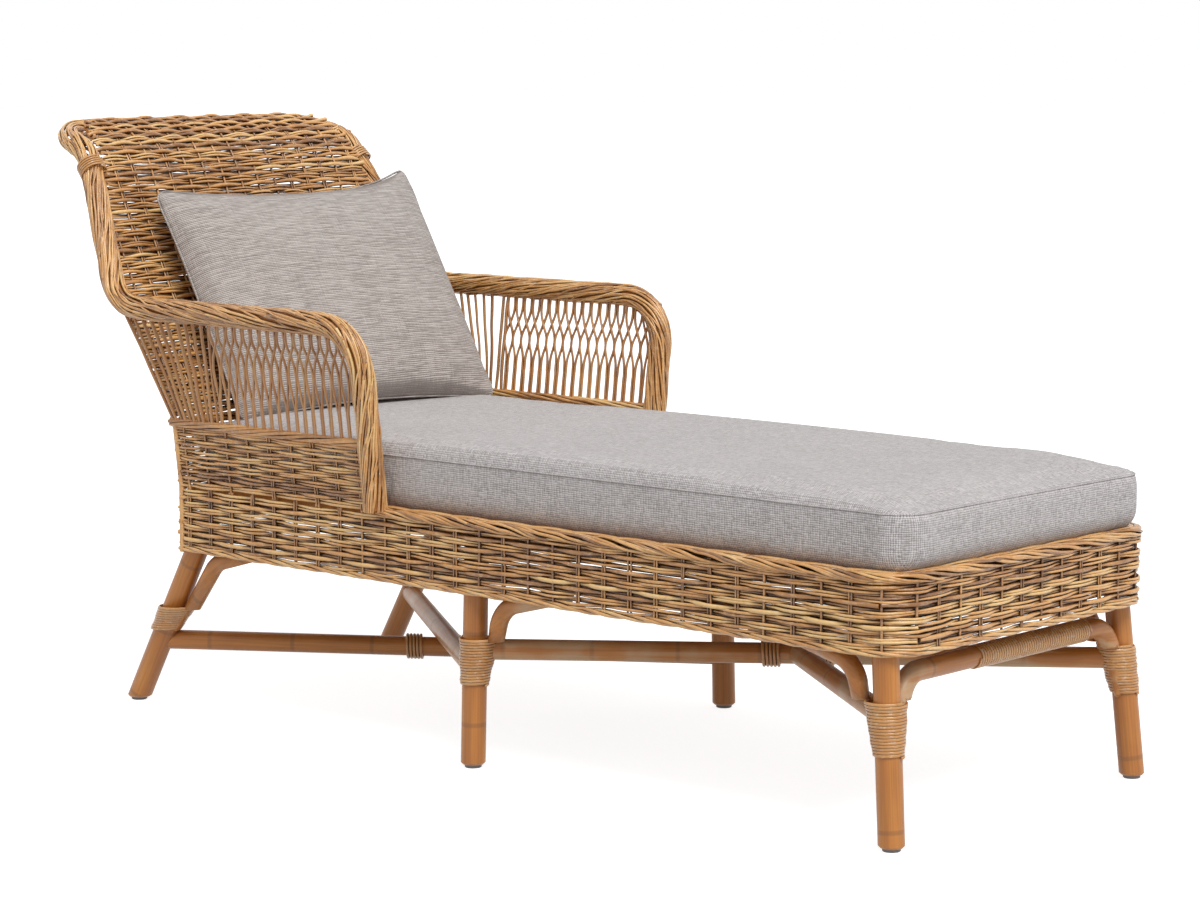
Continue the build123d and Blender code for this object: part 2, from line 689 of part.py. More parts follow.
lattice_low = up_arm(mid_rail_height) + mid_rail_diameter / 2 + fit_gap
border_half_chord = math.sqrt(border_radius ** 2 - (border_offset - lattice_thickness / 2) ** 2)
lattice_high = up_arm(arm_height) - border_half_chord - fit_gap
lattice_rear_low = rear_x
back_share = (rail_under - back_foot_z) / (back_top_height - back_foot_z)
lattice_rear_high = back_foot.X - back_setback * back_share - back_hollow - weave_thickness / 2
lattice_bend = border_bend - border_radius - fit_gap
lattice_corners = [
    (lattice_rear_low, lattice_low), (panel_front, lattice_low),
    (panel_front, lattice_high), (lattice_rear_high, lattice_high),
]
lattice_outline = make_face(FilletPolyline(*lattice_corners, radius=[0, 0, lattice_bend, 0], close=True))
lattice_inside = offset(lattice_outline, -lattice_margin)

crossing_rise = diamond_half_height
split_height = lattice_high - diamond_levels * crossing_rise
slope = math.atan2(crossing_rise, stake_spacing / 2)
side_inset = strand_width / 2 / math.sin(slope)
tip_inset = strand_width / 2 / math.cos(slope)
diamond_w = stake_spacing / 2 - side_inset
diamond_h = crossing_rise - tip_inset
slot_w = (stake_spacing - stake_width) / 2
slot_shoulder = split_height + crossing_rise - tip_inset - slot_w * math.tan(slope)

openings = []
column_count = int((panel_front - lattice_rear_high) / stake_spacing) + 1
for column in range(column_count):
    stake_u = panel_front - lattice_margin - column * stake_spacing
    slot_u = stake_u - stake_spacing / 2
    slot_tip = split_height + crossing_rise - tip_inset
    openings.append(make_face(Polyline(
        (slot_u - slot_w, lattice_low), (slot_u + slot_w, lattice_low), (slot_u + slot_w, slot_shoulder),
        (slot_u, slot_tip), (slot_u - slot_w, slot_shoulder), close=True)))
    for level in range(1, diamond_levels):
        diamond_u = stake_u if level % 2 else slot_u
        diamond_v = split_height + level * crossing_rise
        openings.append(make_face(Polyline(
            (diamond_u - diamond_w, diamond_v), (diamond_u, diamond_v - diamond_h),
            (diamond_u + diamond_w, diamond_v), (diamond_u, diamond_v + diamond_h), close=True)))
least_opening = strand_width * strand_width * 2
holes = [
    face
    for opening in openings
    for face in (Sketch() + opening & lattice_inside).faces()
    if face.area > least_opening
]
print(f"lattice openings in each arm: {len(holes)}")
lattice_face = Sketch() + lattice_outline - holes
save_pair(arm_plane * extrude(lattice_face, lattice_thickness / 2, both=True), "arm_lattice")


# Seat cushion: boxed, with drawn-in sides and a crowned top

def crown_radius(half_span, crown):
    """Radius of the arc that rises by the crown over a half span."""
    return (half_span * half_span + crown * crown) / (2 * crown)


cushion_rear = rear_x + (weave_thickness + max(weave_thickness, mid_rail_diameter)) / 2 + 2 * soft_gap
cushion_front = front_x - cushion_front_setback
cushion_length = cushion_front - cushion_rear
cushion_half = arm_y(rim_height) + border_offset - border_radius - cushion_side_clearance
cushion_bottom = rim_height + soft_gap
cushion_top = cushion_bottom + cushion_thickness + cushion_side_crown + cushion_end_crown


def drawn_in_outline(half_x, half_y, draw, corner):
    """Rounded rectangle whose sides pull in between the corners."""
    corner_in = corner * (1 - math.sqrt(0.5))
    sides = []
    corners = []
    for turn in range(4):
        along, across = (half_x, half_y) if turn % 2 == 0 else (half_y, half_x)
        spin = Rot(0, 0, 90 * turn)
        side = ThreePointArc((-along + corner, -across), (0, -across + draw), (along - corner, -across))
        bend = ThreePointArc((along - corner, -across), (along - corner_in, -across + corner_in),
                             (along, -across + corner))
        sides.append(spin * side)
        corners.append(spin * bend)
    edges = [curve.edge() for pair in zip(sides, corners) for curve in pair]
    return make_face(edges)


cushion_plan = drawn_in_outline(cushion_length / 2, cushion_half, cushion_draw_in, cushion_corner)
cushion_mid_x = (cushion_front + cushion_rear) / 2
cushion_block = Pos(cushion_mid_x, 0, cushion_bottom) * extrude(cushion_plan, cushion_top - cushion_bottom)
side_crown = crown_radius(cushion_half, cushion_side_crown)
end_crown = crown_radius(cushion_length / 2, cushion_end_crown)
crown_axis = Plane(origin=(cushion_mid_x, 0, cushion_top - end_crown), x_dir=(1, 0, 0), z_dir=(0, 1, 0))
crown = Solid.make_torus(end_crown - side_crown, side_crown, crown_axis)
seat_cushion = largest(cushion_block & crown)
save(seat_cushion, "seat_cushion")


# Pillow: crowned on both faces, drawn in between its corners, leaning on the back

def pillow_section(depth):
    """Outline of the pillow at a depth from its middle plane."""
    share = math.sqrt(max(0.0, 1 - (2 * abs(depth) / pillow_thickness) ** 2))
    inset = (1 - share) * pillow_height / 2
    return Pos(0, 0, depth) * drawn_in_outline(
        pillow_width / 2 - inset, pillow_height / 2 - inset, pillow_draw_in * share, pillow_corner * share)


half_steps = [math.sin(math.pi / 2 * step / pillow_rings) / 2 for step in range(1, pillow_rings)]
pillow_steps = [-step for step in reversed(half_steps)] + [0.0] + half_steps
pillow_solid = loft([pillow_section(step * pillow_thickness) for step in pillow_steps], ruled=True)
rake = math.atan2(back_setback, back_top_height - back_foot_z)
lean_normal = Vector(math.cos(rake), 0, math.sin(rake))
down_back = Vector(math.sin(rake), 0, -math.cos(rake))
pillow_rake = rake + math.radians(pillow_lean)
pillow_facing = Vector(math.cos(pillow_rake), 0, math.sin(pillow_rake))
pillow_plane = Plane(origin=(0, 0, 0), x_dir=(0, 1, 0), z_dir=pillow_facing)
pillow = Rot(0, 0, -pillow_turn) * (pillow_plane * pillow_solid)
pillow_points = pillow.tessellate(pillow_mesh_tolerance, pillow_mesh_angle)[0]
hollow_center = sweep_line.edge().arc_center
hollow_radius = sweep_line.edge().radius - weave_thickness / 2


def gap_to_back(point):
    """Room between a point and the hollow front of the back."""
    return hollow_radius - math.hypot(point.X - hollow_center.X, point.Z - hollow_center.Z)


def gap_to_cushion(point):
    """Room between a point and the crowned top of the cushion."""
    ring_reach = end_crown - side_crown + math.sqrt(side_crown ** 2 - point.Y ** 2)
    top = cushion_top - end_crown + math.sqrt(ring_reach ** 2 - (point.X - cushion_mid_x) ** 2)
    return point.Z - top


place = back_foot + lean_normal * pillow_thickness - down_back * pillow_height
place += Vector(0, pillow_shift, 0)
for settle in range(settle_rounds):
    room = min(gap_to_back(point + place) for point in pillow_points)
    place = place - lean_normal * (room - soft_gap)
    room = min(gap_to_cushion(point + place) for point in pillow_points)
    place = place + down_back * (room - soft_gap)
save(pillow.translate(place), "pillow")
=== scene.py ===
# %% [markdown]
# # A rattan chaise longue
# The imported model holds every pole, rail and soft block of the chaise at its real size. This lesson
# dresses it: canes are woven over the blocks that stand for wickerwork, borders are bundled from
# thin canes, the joints are bound, and the cushions are filled. Nothing of the model is moved.
# We load it first.

# %% Load the frame
import math
import random

import bmesh
import bpy
import numpy as np
from mathutils import Matrix, Vector


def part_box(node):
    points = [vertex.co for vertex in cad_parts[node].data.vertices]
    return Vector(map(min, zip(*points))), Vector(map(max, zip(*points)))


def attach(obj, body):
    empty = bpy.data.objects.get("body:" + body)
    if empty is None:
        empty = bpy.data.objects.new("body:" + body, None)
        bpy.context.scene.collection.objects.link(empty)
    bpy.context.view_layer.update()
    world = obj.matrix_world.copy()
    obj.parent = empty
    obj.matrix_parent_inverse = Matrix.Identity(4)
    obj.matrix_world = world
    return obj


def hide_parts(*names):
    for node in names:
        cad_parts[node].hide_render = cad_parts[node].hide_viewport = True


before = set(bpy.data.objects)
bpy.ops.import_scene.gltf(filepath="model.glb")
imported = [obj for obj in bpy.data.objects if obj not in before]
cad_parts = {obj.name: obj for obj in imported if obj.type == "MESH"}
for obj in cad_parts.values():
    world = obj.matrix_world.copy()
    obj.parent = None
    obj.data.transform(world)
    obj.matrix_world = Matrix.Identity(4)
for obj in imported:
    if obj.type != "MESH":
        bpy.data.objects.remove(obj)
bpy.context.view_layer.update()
scene = bpy.context.scene
scene.view_settings.view_transform = "Standard"
print("nodes loaded:", len(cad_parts))

# %% [markdown]
# ## Camera, floor and light
# The camera stands in front of the foot end, to the sitter's right, a little above the arms, with a
# long lens. A studio picture needs little more: one pale floor, a bright world that gives soft
# light from all round, and one very wide sun above the foot end. Paper and sky look white to the
# camera and in reflections, while the light that they send to the chaise is only moderate, so that
# the hollows of the weave stay dark. The paper still takes a faint shadow.

# %% Camera
CAMERA_PLACE = (3.5737, -3.9596, 1.1331)
CAMERA_DROP = 7.319
CAMERA_TURN = 41.44


def add_object(name, data):
    """New object of the scene that shows some data."""
    made = bpy.data.objects.new(name, data)
    scene.collection.objects.link(made)
    return made


camera_data = bpy.data.cameras.new("camera")
camera_data.lens = 101.307
camera_data.sensor_width = 36.0
camera_data.dof.use_dof = False
camera = add_object("camera", camera_data)
camera.location = CAMERA_PLACE
camera.rotation_euler = (math.radians(90 - CAMERA_DROP), 0.0, math.radians(CAMERA_TURN))
scene.camera = camera
print("camera looks from", [round(value, 2) for value in camera.location])

# %% Floor, world and lamps
PAPER = (0.55, 0.55, 0.55, 1.0)
WHITE = (1.0, 1.0, 1.0, 1.0)
FLOOR_HALF = 30.0
PAPER_GLOW = 0.86
SKY_LEVEL = 0.45


def seen_level(tree, plain, seen):
    """Strength that is higher for what the camera sees, directly or in a reflection."""
    ray = tree.nodes.new("ShaderNodeLightPath")
    shown = ray.outputs["Is Camera Ray"]
    for kind in ("Is Glossy Ray", "Is Transmission Ray"):
        either = tree.nodes.new("ShaderNodeMath")
        either.operation = "MAXIMUM"
        tree.links.new(shown, either.inputs[0])
        tree.links.new(ray.outputs[kind], either.inputs[1])
        shown = either.outputs[0]
    level = tree.nodes.new("ShaderNodeMath")
    level.operation = "MULTIPLY_ADD"
    level.inputs[1].default_value = seen - plain
    level.inputs[2].default_value = plain
    tree.links.new(shown, level.inputs[0])
    return level.outputs[0]


def paper_finish(name):
    """Matt paper that looks white to the camera and still takes a shadow."""
    material = bpy.data.materials.new(name)
    material.use_nodes = True
    tree = material.node_tree
    shader = tree.nodes["Principled BSDF"]
    shader.inputs["Base Color"].default_value = PAPER
    shader.inputs["Roughness"].default_value = 1.0
    shader.inputs["Specular IOR Level"].default_value = 0.0
    shader.inputs["Emission Color"].default_value = WHITE
    tree.links.new(seen_level(tree, 0.0, PAPER_GLOW), shader.inputs["Emission Strength"])
    return material


def mesh_of(name, shape):
    """Turn a finished bmesh into a mesh."""
    mesh = bpy.data.meshes.new(name)
    shape.to_mesh(mesh)
    shape.free()
    return mesh


sheet = bmesh.new()
bmesh.ops.create_grid(sheet, x_segments=1, y_segments=1, size=FLOOR_HALF)
floor = add_object("floor", mesh_of("floor", sheet))
floor.data.materials.append(paper_finish("paper"))

world = bpy.data.worlds.new("studio")
scene.world = world
world.use_nodes = True
sky = world.node_tree.nodes["Background"]
sky.inputs["Color"].default_value = WHITE
world.node_tree.links.new(seen_level(world.node_tree, SKY_LEVEL, 1.0), sky.inputs["Strength"])


def wide_sun(name, come_from, strength, spread):
    """Sun whose light comes from a direction, spread in degrees for soft shadows."""
    data = bpy.data.lights.new(name, "SUN")
    data.energy = strength
    data.angle = math.radians(spread)
    made = add_object(name, data)
    made.rotation_euler = Vector(come_from).to_track_quat("Z", "Y").to_euler()


wide_sun("over_foot_end", come_from=(0.55, -0.25, 0.85), strength=2.1, spread=30.0)
print("lamps:", len(bpy.data.lights))

# %% [markdown]
# ## Writing a finish as sums
# A material is a tree of nodes, and long trees are hard to read when each node is wired by hand. The
# small class below wraps one socket, so that a mask or a streak can be written as arithmetic. Each
# sum or product adds its own Math node. Every other node comes from one method.

# %% Sockets that add and multiply
class Field:
    """A value on the surface, which takes part in sums as a number does."""

    def __init__(self, finish, socket):
        self.finish = finish
        self.socket = socket

    def _math(self, operation, first, second):
        return self.finish.node("ShaderNodeMath", {"operation": operation}, {0: first, 1: second})

    def __add__(self, other):
        return self._math("ADD", self, other)

    def __radd__(self, other):
        return self._math("ADD", other, self)

    def __sub__(self, other):
        return self._math("SUBTRACT", self, other)

    def __rsub__(self, other):
        return self._math("SUBTRACT", other, self)

    def __mul__(self, other):
        return self._math("MULTIPLY", self, other)

    def __rmul__(self, other):
        return self._math("MULTIPLY", other, self)


class Finish:
    """One material, built from a few named fields."""

    def __init__(self, name):
        self.material = bpy.data.materials.new(name)
        self.material.use_nodes = True
        self.tree = self.material.node_tree
        self.shader = self.tree.nodes["Principled BSDF"]

    def node(self, kind, settings, sockets, output=0):
        """Any node: its settings first, then values or links for its sockets."""
        made = self.tree.nodes.new(kind)
        for key, value in settings.items():
            setattr(made, key, value)
        for key, value in sockets.items():
            self.feed(made.inputs[key], value)
        return Field(self, made.outputs[output])

    def feed(self, socket, value):
        """Link a field to a socket, or set the socket's own value."""
        if isinstance(value, Field):
            self.tree.links.new(value.socket, socket)
        else:
            socket.default_value = value

    def shade(self, **sockets):
        """Values or fields for the shader's own sockets, with spaces written as underscores."""
        for key, value in sockets.items():
            self.feed(self.shader.inputs[key.replace("_", " ")], value)

    def turned(self, turn):
        """Object coordinates, turned."""
        plain = self.node("ShaderNodeTexCoord", {}, {}, "Object")
        return self.node("ShaderNodeMapping", {}, {"Vector": plain, "Rotation": turn})

    def noise(self, where, stretch, detail):
        """Cloudy noise between 0 and 1, with its own number of clouds per metre each way."""
        place = self.node("ShaderNodeMapping", {}, {"Vector": where, "Scale": stretch})
        sockets = {"Vector": place, "Scale": 1.0, "Detail": detail}
        return self.node("ShaderNodeTexNoise", {}, sockets, "Fac")

    def span(self, value, low, high):
        """A field rising smoothly from 0 at low to 1 at high."""
        settings = {"interpolation_type": "SMOOTHSTEP"}
        sockets = {"Value": value, "From Min": low, "From Max": high}
        return self.node("ShaderNodeMapRange", settings, sockets)

    def mix(self, factor, first, second):
        """Two colours mixed by a field."""
        return self.node("ShaderNodeMix", {"data_type": "RGBA"}, {0: factor, 6: first, 7: second}, 2)

    def sine(self, value):
        """Sine of a field."""
        return self.node("ShaderNodeMath", {"operation": "SINE"}, {0: value})

    def bump(self, height, distance, strength):
        """Normal from a height field."""
        sockets = {"Height": height, "Distance": distance, "Strength": strength}
        self.shade(Normal=self.node("ShaderNodeBump", {}, sockets))


print("finish helpers ready")

# %% [markdown]
# ## Rattan poles
# A rattan pole is a solid vine stem with its bark scraped off. Its colour is warm honey with long
# darker streaks along the stem, faint rings where leaves grew, and a thin satin lacquer. The streaks
# must follow the stem, so each pole gets a material of its own whose coordinates are turned to the
# pole's longest direction, measured from its mesh.

# %% Pole finish
HONEY = (0.66, 0.265, 0.056, 1.0)
AMBER = (0.47, 0.165, 0.032, 1.0)
PALE_BARK = (0.62, 0.43, 0.26, 1.0)
RING_BROWN = (0.22, 0.09, 0.03, 1.0)
UP = Vector((0.0, 0.0, 1.0))
UNTURNED = (0.0, 0.0, 0.0)


def long_axis(mesh):
    """Direction in which a mesh is longest."""
    points = np.empty(len(mesh.vertices) * 3)
    mesh.vertices.foreach_get("co", points)
    points = points.reshape(-1, 3)
    spread = np.cov((points - points.mean(0)).T)
    return Vector(np.linalg.eigh(spread)[1][:, -1])


def pole_finish(name, axis, bark=0.0):
    """Honey-coloured scraped rattan, streaked along an axis, with remains of pale bark."""
    finish = Finish(name)
    stem = finish.turned(axis.rotation_difference(UP).to_euler())
    streak = finish.noise(stem, (55.0, 55.0, 2.2), 3.0)
    fine = finish.noise(stem, (420.0, 420.0, 9.0), 2.0)
    patch = finish.noise(finish.turned(UNTURNED), (9.0, 9.0, 9.0), 3.0)
    ring_place = finish.node("ShaderNodeMapping", {}, {"Vector": stem, "Scale": (3.0, 3.0, 7.5)})
    ring_kind = {"bands_direction": "Z", "wave_profile": "SIN"}
    ring_sockets = {"Vector": ring_place, "Scale": 0.32, "Distortion": 1.2, "Detail": 1.0}
    ring = finish.span(finish.node("ShaderNodeTexWave", ring_kind, ring_sockets, "Fac"), 0.988, 1.0)
    tone = finish.mix(finish.span(streak * 0.7 + patch * 0.3, 0.33, 0.66), AMBER, HONEY)
    tone = finish.mix(finish.span(fine, 0.35, 0.75) * 0.30, tone, RING_BROWN)
    tone = finish.mix(ring * 0.45, tone, RING_BROWN)
    bark_streak = finish.span(streak * 0.45 + patch * 0.55, 0.60 - 0.13 * bark, 0.72 - 0.10 * bark)
    tone = finish.mix(bark_streak * (0.35 + 0.5 * bark), tone, PALE_BARK)
    finish.shade(Base_Color=tone, Roughness=0.36 + streak * 0.16, Coat_Weight=0.12)
    finish.shader.inputs["Coat Roughness"].default_value = 0.22
    finish.bump(fine * 0.5 + streak * 0.5 + ring * 0.8, 0.0006, 0.5)
    return finish.material


def coat(node, material):
    """Give a node of the model its finish."""
    node.data.materials.clear()
    node.data.materials.append(material)


BARKY = {"stretcher_front_a", "stretcher_front_b", "stretcher_rear_upper", "front_hoop",
         "brace_front_right", "brace_front_left", "brace_mid_right", "brace_mid_left"}
POLE_WORDS = ("leg_", "rail", "rim_", "seat_b", "seat_slats", "stretcher", "hoop", "brace", "_pole")
poles = [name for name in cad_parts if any(word in name for word in POLE_WORDS)]
poles = [name for name in poles if name not in ("leg_bindings", "hoop_wrap")]
for name in poles:
    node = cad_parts[name]
    bark = 1.0 if name in BARKY else 0.0
    coat(node, pole_finish(name + "_rattan", long_axis(node.data), bark))
print("poles finished:", len(poles))

# %% [markdown]
# ## Grey glides
# A small plastic glide under each foot keeps the cane off the floor. It is plain grey with a fine
# scuffed surface, so a little noise in colour, roughness and bump is enough.

# %% Glide finish
DARK_GREY = (0.16, 0.155, 0.15, 1.0)
SCUFFED_GREY = (0.34, 0.33, 0.32, 1.0)
glide = Finish("glide_grey")
scuff = glide.noise(glide.turned(UNTURNED), (160.0, 160.0, 60.0), 4.0)
glide.shade(Base_Color=glide.mix(scuff, DARK_GREY, SCUFFED_GREY), Roughness=0.5 + scuff * 0.25)
glide.bump(scuff, 0.0004, 0.4)
coat(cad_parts["foot_glides"], glide.material)
print("glides finished")

# %% [markdown]
# ## Canes as curves
# Wickerwork is made of hundreds of thin canes. A bevelled curve is the quickest way to give a line a
# round body: each cane is one NURBS spline, so a few points bend smoothly. All the canes of a piece
# share one curve, which is turned into a mesh at the end. The spline's material number would be lost
# then, so it is kept as a face attribute called shade: no two canes dry to quite the same colour.

# %% Canes from lines
SHADES = 16
USUAL_TAPER = 0.08
picker = random.Random(7)


def evaluated_mesh(holder):
    """Mesh of an object as its curve or its modifiers make it."""
    graph = bpy.context.evaluated_depsgraph_get()
    return bpy.data.meshes.new_from_object(holder.evaluated_get(graph))


def cane_mesh(name, canes, ring=1, steps=3):
    """One mesh of round canes. A cane is (points, radii, shade)."""
    curve = bpy.data.curves.new(name, "CURVE")
    curve.dimensions = "3D"
    curve.bevel_depth = 1.0
    curve.bevel_resolution = ring
    curve.use_fill_caps = True
    for number in range(SHADES):
        curve.materials.append(None)
    for points, radii, shade in canes:
        spline = curve.splines.new("NURBS")
        spline.points.add(len(points) - 1)
        spline.points.foreach_set("co", [value for point in points for value in (*point, 1.0)])
        spline.points.foreach_set("radius", radii)
        spline.order_u = 3
        spline.use_endpoint_u = True
        spline.resolution_u = steps
        spline.material_index = shade
    holder = add_object(name, curve)
    mesh = evaluated_mesh(holder)
    bpy.data.objects.remove(holder)
    bpy.data.curves.remove(curve)
    numbers = np.zeros(len(mesh.polygons), np.int32)
    mesh.polygons.foreach_get("material_index", numbers)
    shades = mesh.attributes.new("shade", "FLOAT", "FACE")
    shades.data.foreach_set("value", (numbers / (SHADES - 1)).astype(np.float32))
    mesh.polygons.foreach_set("material_index", np.zeros(len(mesh.polygons), np.int32))
    mesh.materials.clear()
    mesh.name = name
    return mesh


def any_shade():
    """A shade for one cane, most often a middle one."""
    return min(SHADES - 1, max(0, round(picker.gauss(0.5, 0.22) * (SHADES - 1))))


def cane(points, radius, taper=USUAL_TAPER, shade=None):
    """A cane of about one radius, uneven as a grown thing is."""
    radii = [radius * picker.uniform(1 - taper, 1 + taper) for point in points]
    return (points, radii, any_shade() if shade is None else shade)


def dress(name, mesh, material, body, slot, *nodes):
    """Make a mesh a piece of the chaise that rides on a body and stands for some nodes."""
    mesh.materials.append(material)
    made = add_object(name, mesh)
    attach(made, body)
    if nodes:
        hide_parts(*nodes)
    print(f"{name}: {len(mesh.polygons)} faces")


def dress_canes(name, canes, material, *nodes, steps=3):
    """Make canes a woven piece of the frame."""
    dress(name, cane_mesh(name, canes, 1, steps), material, "frame", "woven_cane", *nodes)


# %% [markdown]
# ## Bent canes with bark
# The hoop and the braces are bent from thinner vines whose bark is left on, so they are stouter than
# the bare canes of the model. A copy of each is moved out along its normals and stands for it.

# %% Bark on bent canes
BARK = 0.0042
MERGE_WITHIN = 0.0002


def merged_copy(mesh):
    """Copy of a node's loose triangles as one closed bmesh."""
    shape = bmesh.new()
    shape.from_mesh(mesh)
    bmesh.ops.remove_doubles(shape, verts=shape.verts, dist=MERGE_WITHIN)
    return shape


def barked(name):
    """Stouter copy of a bent cane."""
    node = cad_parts[name]
    shape = merged_copy(node.data)
    bmesh.ops.recalc_face_normals(shape, faces=shape.faces)
    shape.normal_update()
    moved = [vert.co + vert.normal * BARK for vert in shape.verts]
    for vert, spot in zip(shape.verts, moved):
        vert.co = spot
    for face in shape.faces:
        face.smooth = True
    mesh = mesh_of("barked_" + name, shape)
    dress("barked_" + name, mesh, node.data.materials[0], "frame", "rattan_pole", name)


for name in poles:
    if name.startswith("brace_") or name == "front_hoop":
        barked(name)

# %% [markdown]
# ## Wicker finish
# Peeled cane is straw to honey coloured, darker where it was handled or stained, and its lacquer
# catches small bright lights; the pale cream streaks along the grain are partly the cane's own and
# partly painted highlights. The shade of each cane chooses between straw and brown, noise breaks
# it up along its length, and fine streaks follow the cane through its UV map. Where canes lie close
# together the colour darkens as painted shade: the Ambient Occlusion node tells how open a spot is
# to the air.

# %% Wicker finish
STRAW = (0.92, 0.60, 0.245, 1.0)
TAN = (0.78, 0.375, 0.108, 1.0)
UMBER = (0.27, 0.105, 0.030, 1.0)
CREAM_STREAK_AND_HIGHLIGHT = (0.96, 0.84, 0.62, 1.0)
# Near-black brown of the painted shade where canes lie close together
HOLLOW_SHADE = (0.075, 0.026, 0.008, 1.0)
LATTICE_ORANGE = (0.42, 0.17, 0.045, 1.0)
SHADE_REACH = 0.012


def wicker_finish(name, warm=0.0, shade=None):
    """Lacquered peeled cane, more orange where warm is higher, of one shade or of many, with painted
    highlights and painted shade in its hollows.
    """
    finish = Finish(name)
    if shade is None:
        shade = finish.node("ShaderNodeAttribute", {"attribute_name": "shade"}, {}, "Fac")
    uv = finish.node("ShaderNodeUVMap", {"uv_map": "UVMap"}, {})
    spot = finish.turned(UNTURNED)
    grain = finish.noise(uv, (34.0, 34.0, 1.0), 3.0)
    drift = finish.noise(spot, (16.0, 16.0, 16.0), 3.0)
    speck = finish.noise(spot, (150.0, 150.0, 150.0), 2.0)
    pick = shade * 0.62 + drift * 0.62 - 0.12
    tone = finish.mix(finish.span(pick, 0.12, 0.60), UMBER, TAN)
    tone = finish.mix(finish.span(pick, 0.42, 0.86), tone, STRAW)
    # Cream streaks along the grain: partly the cane's own pale flecks, partly painted highlights.
    tone = finish.mix(finish.span(speck * 0.25 + grain * 0.75, 0.53, 0.68) * 0.75, tone, CREAM_STREAK_AND_HIGHLIGHT)
    tone = finish.mix(finish.span(speck * 0.5 + grain * 0.5, 0.46, 0.30) * 0.5, tone, UMBER)
    tone = finish.mix(warm, tone, LATTICE_ORANGE)
    # Painted shade: the colour darkens towards a near-black brown where other canes lie close by.
    air_kind = {"samples": 6, "only_local": True}
    air = finish.node("ShaderNodeAmbientOcclusion", air_kind, {"Distance": SHADE_REACH}, "AO")
    tone = finish.mix(finish.span(air, 0.22, 0.90), HOLLOW_SHADE, tone)
    finish.shade(Base_Color=tone, Roughness=0.28 + speck * 0.20, Coat_Weight=0.45)
    finish.shader.inputs["Coat Roughness"].default_value = 0.18
    finish.bump(grain * 0.6 + speck * 0.4, 0.0006, 0.5)
    return finish.material


wicker = wicker_finish("wicker_cane")
lattice_cane = wicker_finish("lattice_cane", warm=0.7)
print("wicker finish ready")

# %% [markdown]
# ## The woven skirt
# The seat is a shallow basket. Its skirt runs round both sides and the front in one piece: upright
# stakes stand about three fingers apart, and each weaver goes in front of one stake and behind the
# next, one row the other way round from the row below. Most rows are pairs of thin canes. We walk
# along the skirt by distance, so a row bends round the front corners by itself. A lining of plain,
# darker canes lies behind the rows as painted shade: on the real basket the slits between them are
# dark with shade.

# %% Sizes read from the frame
MM = 0.001
side_low, side_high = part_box("apron_right")
front_low, front_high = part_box("apron_front")
weave_wall = 12.0 * MM
rim_z = side_high.z
skirt_foot_z = side_low.z
rear_x = side_low.x
skirt_y = -side_low.y - weave_wall / 2
corner_bend = front_high.x - front_low.x
straight = front_low.x - rear_x
corner_mid_x = front_low.x
bend_mid = corner_bend - weave_wall / 2
front_half = skirt_y - bend_mid
quarter = bend_mid * math.pi / 2
skirt_length = 2 * (straight + quarter + front_half)
print("skirt length round three sides:", round(skirt_length, 3))

# %% Walking along the skirt


def on_skirt(along, height, out=0.0):
    """Point of the skirt at a distance from its right rear corner; out is outwards."""
    middle = skirt_length / 2
    side = -1.0 if along <= middle else 1.0
    run = along if along <= middle else skirt_length - along
    if run < straight:
        return (rear_x + run, side * (skirt_y + out), height)
    run -= straight
    if run < quarter:
        angle = run / bend_mid
        reach = bend_mid + out
        x = corner_mid_x + reach * math.sin(angle)
        y = front_half + reach * math.cos(angle)
        return (x, side * y, height)
    run -= quarter
    return (corner_mid_x + bend_mid + out, side * (front_half - run), height)


STAKE_GAP = 0.050


def row_on_skirt(along, height, out=0.0):
    """Control point of a row, further out on a corner because a spline cuts the bend."""
    run = min(along, skirt_length - along) - straight
    if 0.0 < run < quarter:
        spread = STAKE_GAP / bend_mid
        out += bend_mid * (8.0 / (6.0 + 2.0 * math.cos(spread)) - 1.0)
    return on_skirt(along, height, out)


print("front middle of the rim:", [round(value, 3) for value in on_skirt(skirt_length / 2, rim_z)])

# %% Rows of a weave
ROW_GAP = 0.0094
ROW_WANDER = 0.0009
END_CLEAR = 0.008
MOSTLY_PAIRS = 0.85
CANE_STAKES = (7, 15)
PAIR = ((-1.0, 1.0), (1.0, 0.95))
SINGLE = ((0.0, 1.4),)
STAKE_SHIFT = 0.004
ROW_UNEVEN = 0.0008
THICKNESSES = (0.86, 1.1)


def spaced(first, last, gap):
    """Places from first to last, as near to one gap apart as fits."""
    count = max(1, round((last - first) / gap))
    return [first + (last - first) * step / count for step in range(count + 1)]


def lengths_of(route):
    """A long row broken into parts of natural length, whose ends lie behind a stake."""
    parts = []
    start = 0
    while start < len(route) - 1:
        stop = min(len(route) - 1, start + picker.randint(*CANE_STAKES))
        while stop < len(route) - 1 and route[stop][2] > 0:
            stop += 1
        parts.append(route[start:stop + 1])
        start = stop
    return parts


def row_canes(place, part, radius, swing, paired):
    """Two thin canes that share a row, or a single thicker one."""
    canes = []
    for offset, thick in PAIR if picker.random() < paired else SINGLE:
        points = []
        for step, (along, height, side) in enumerate(part):
            shift = picker.uniform(-STAKE_SHIFT, STAKE_SHIFT)
            level = height + offset * radius + picker.gauss(0.0, ROW_UNEVEN)
            reach = swing * side if step in (0, len(part) - 1) else 2.0 * swing * side
            points.append(place(along + shift, level, reach))
        canes.append(cane(points, radius * thick * picker.uniform(*THICKNESSES)))
    return canes


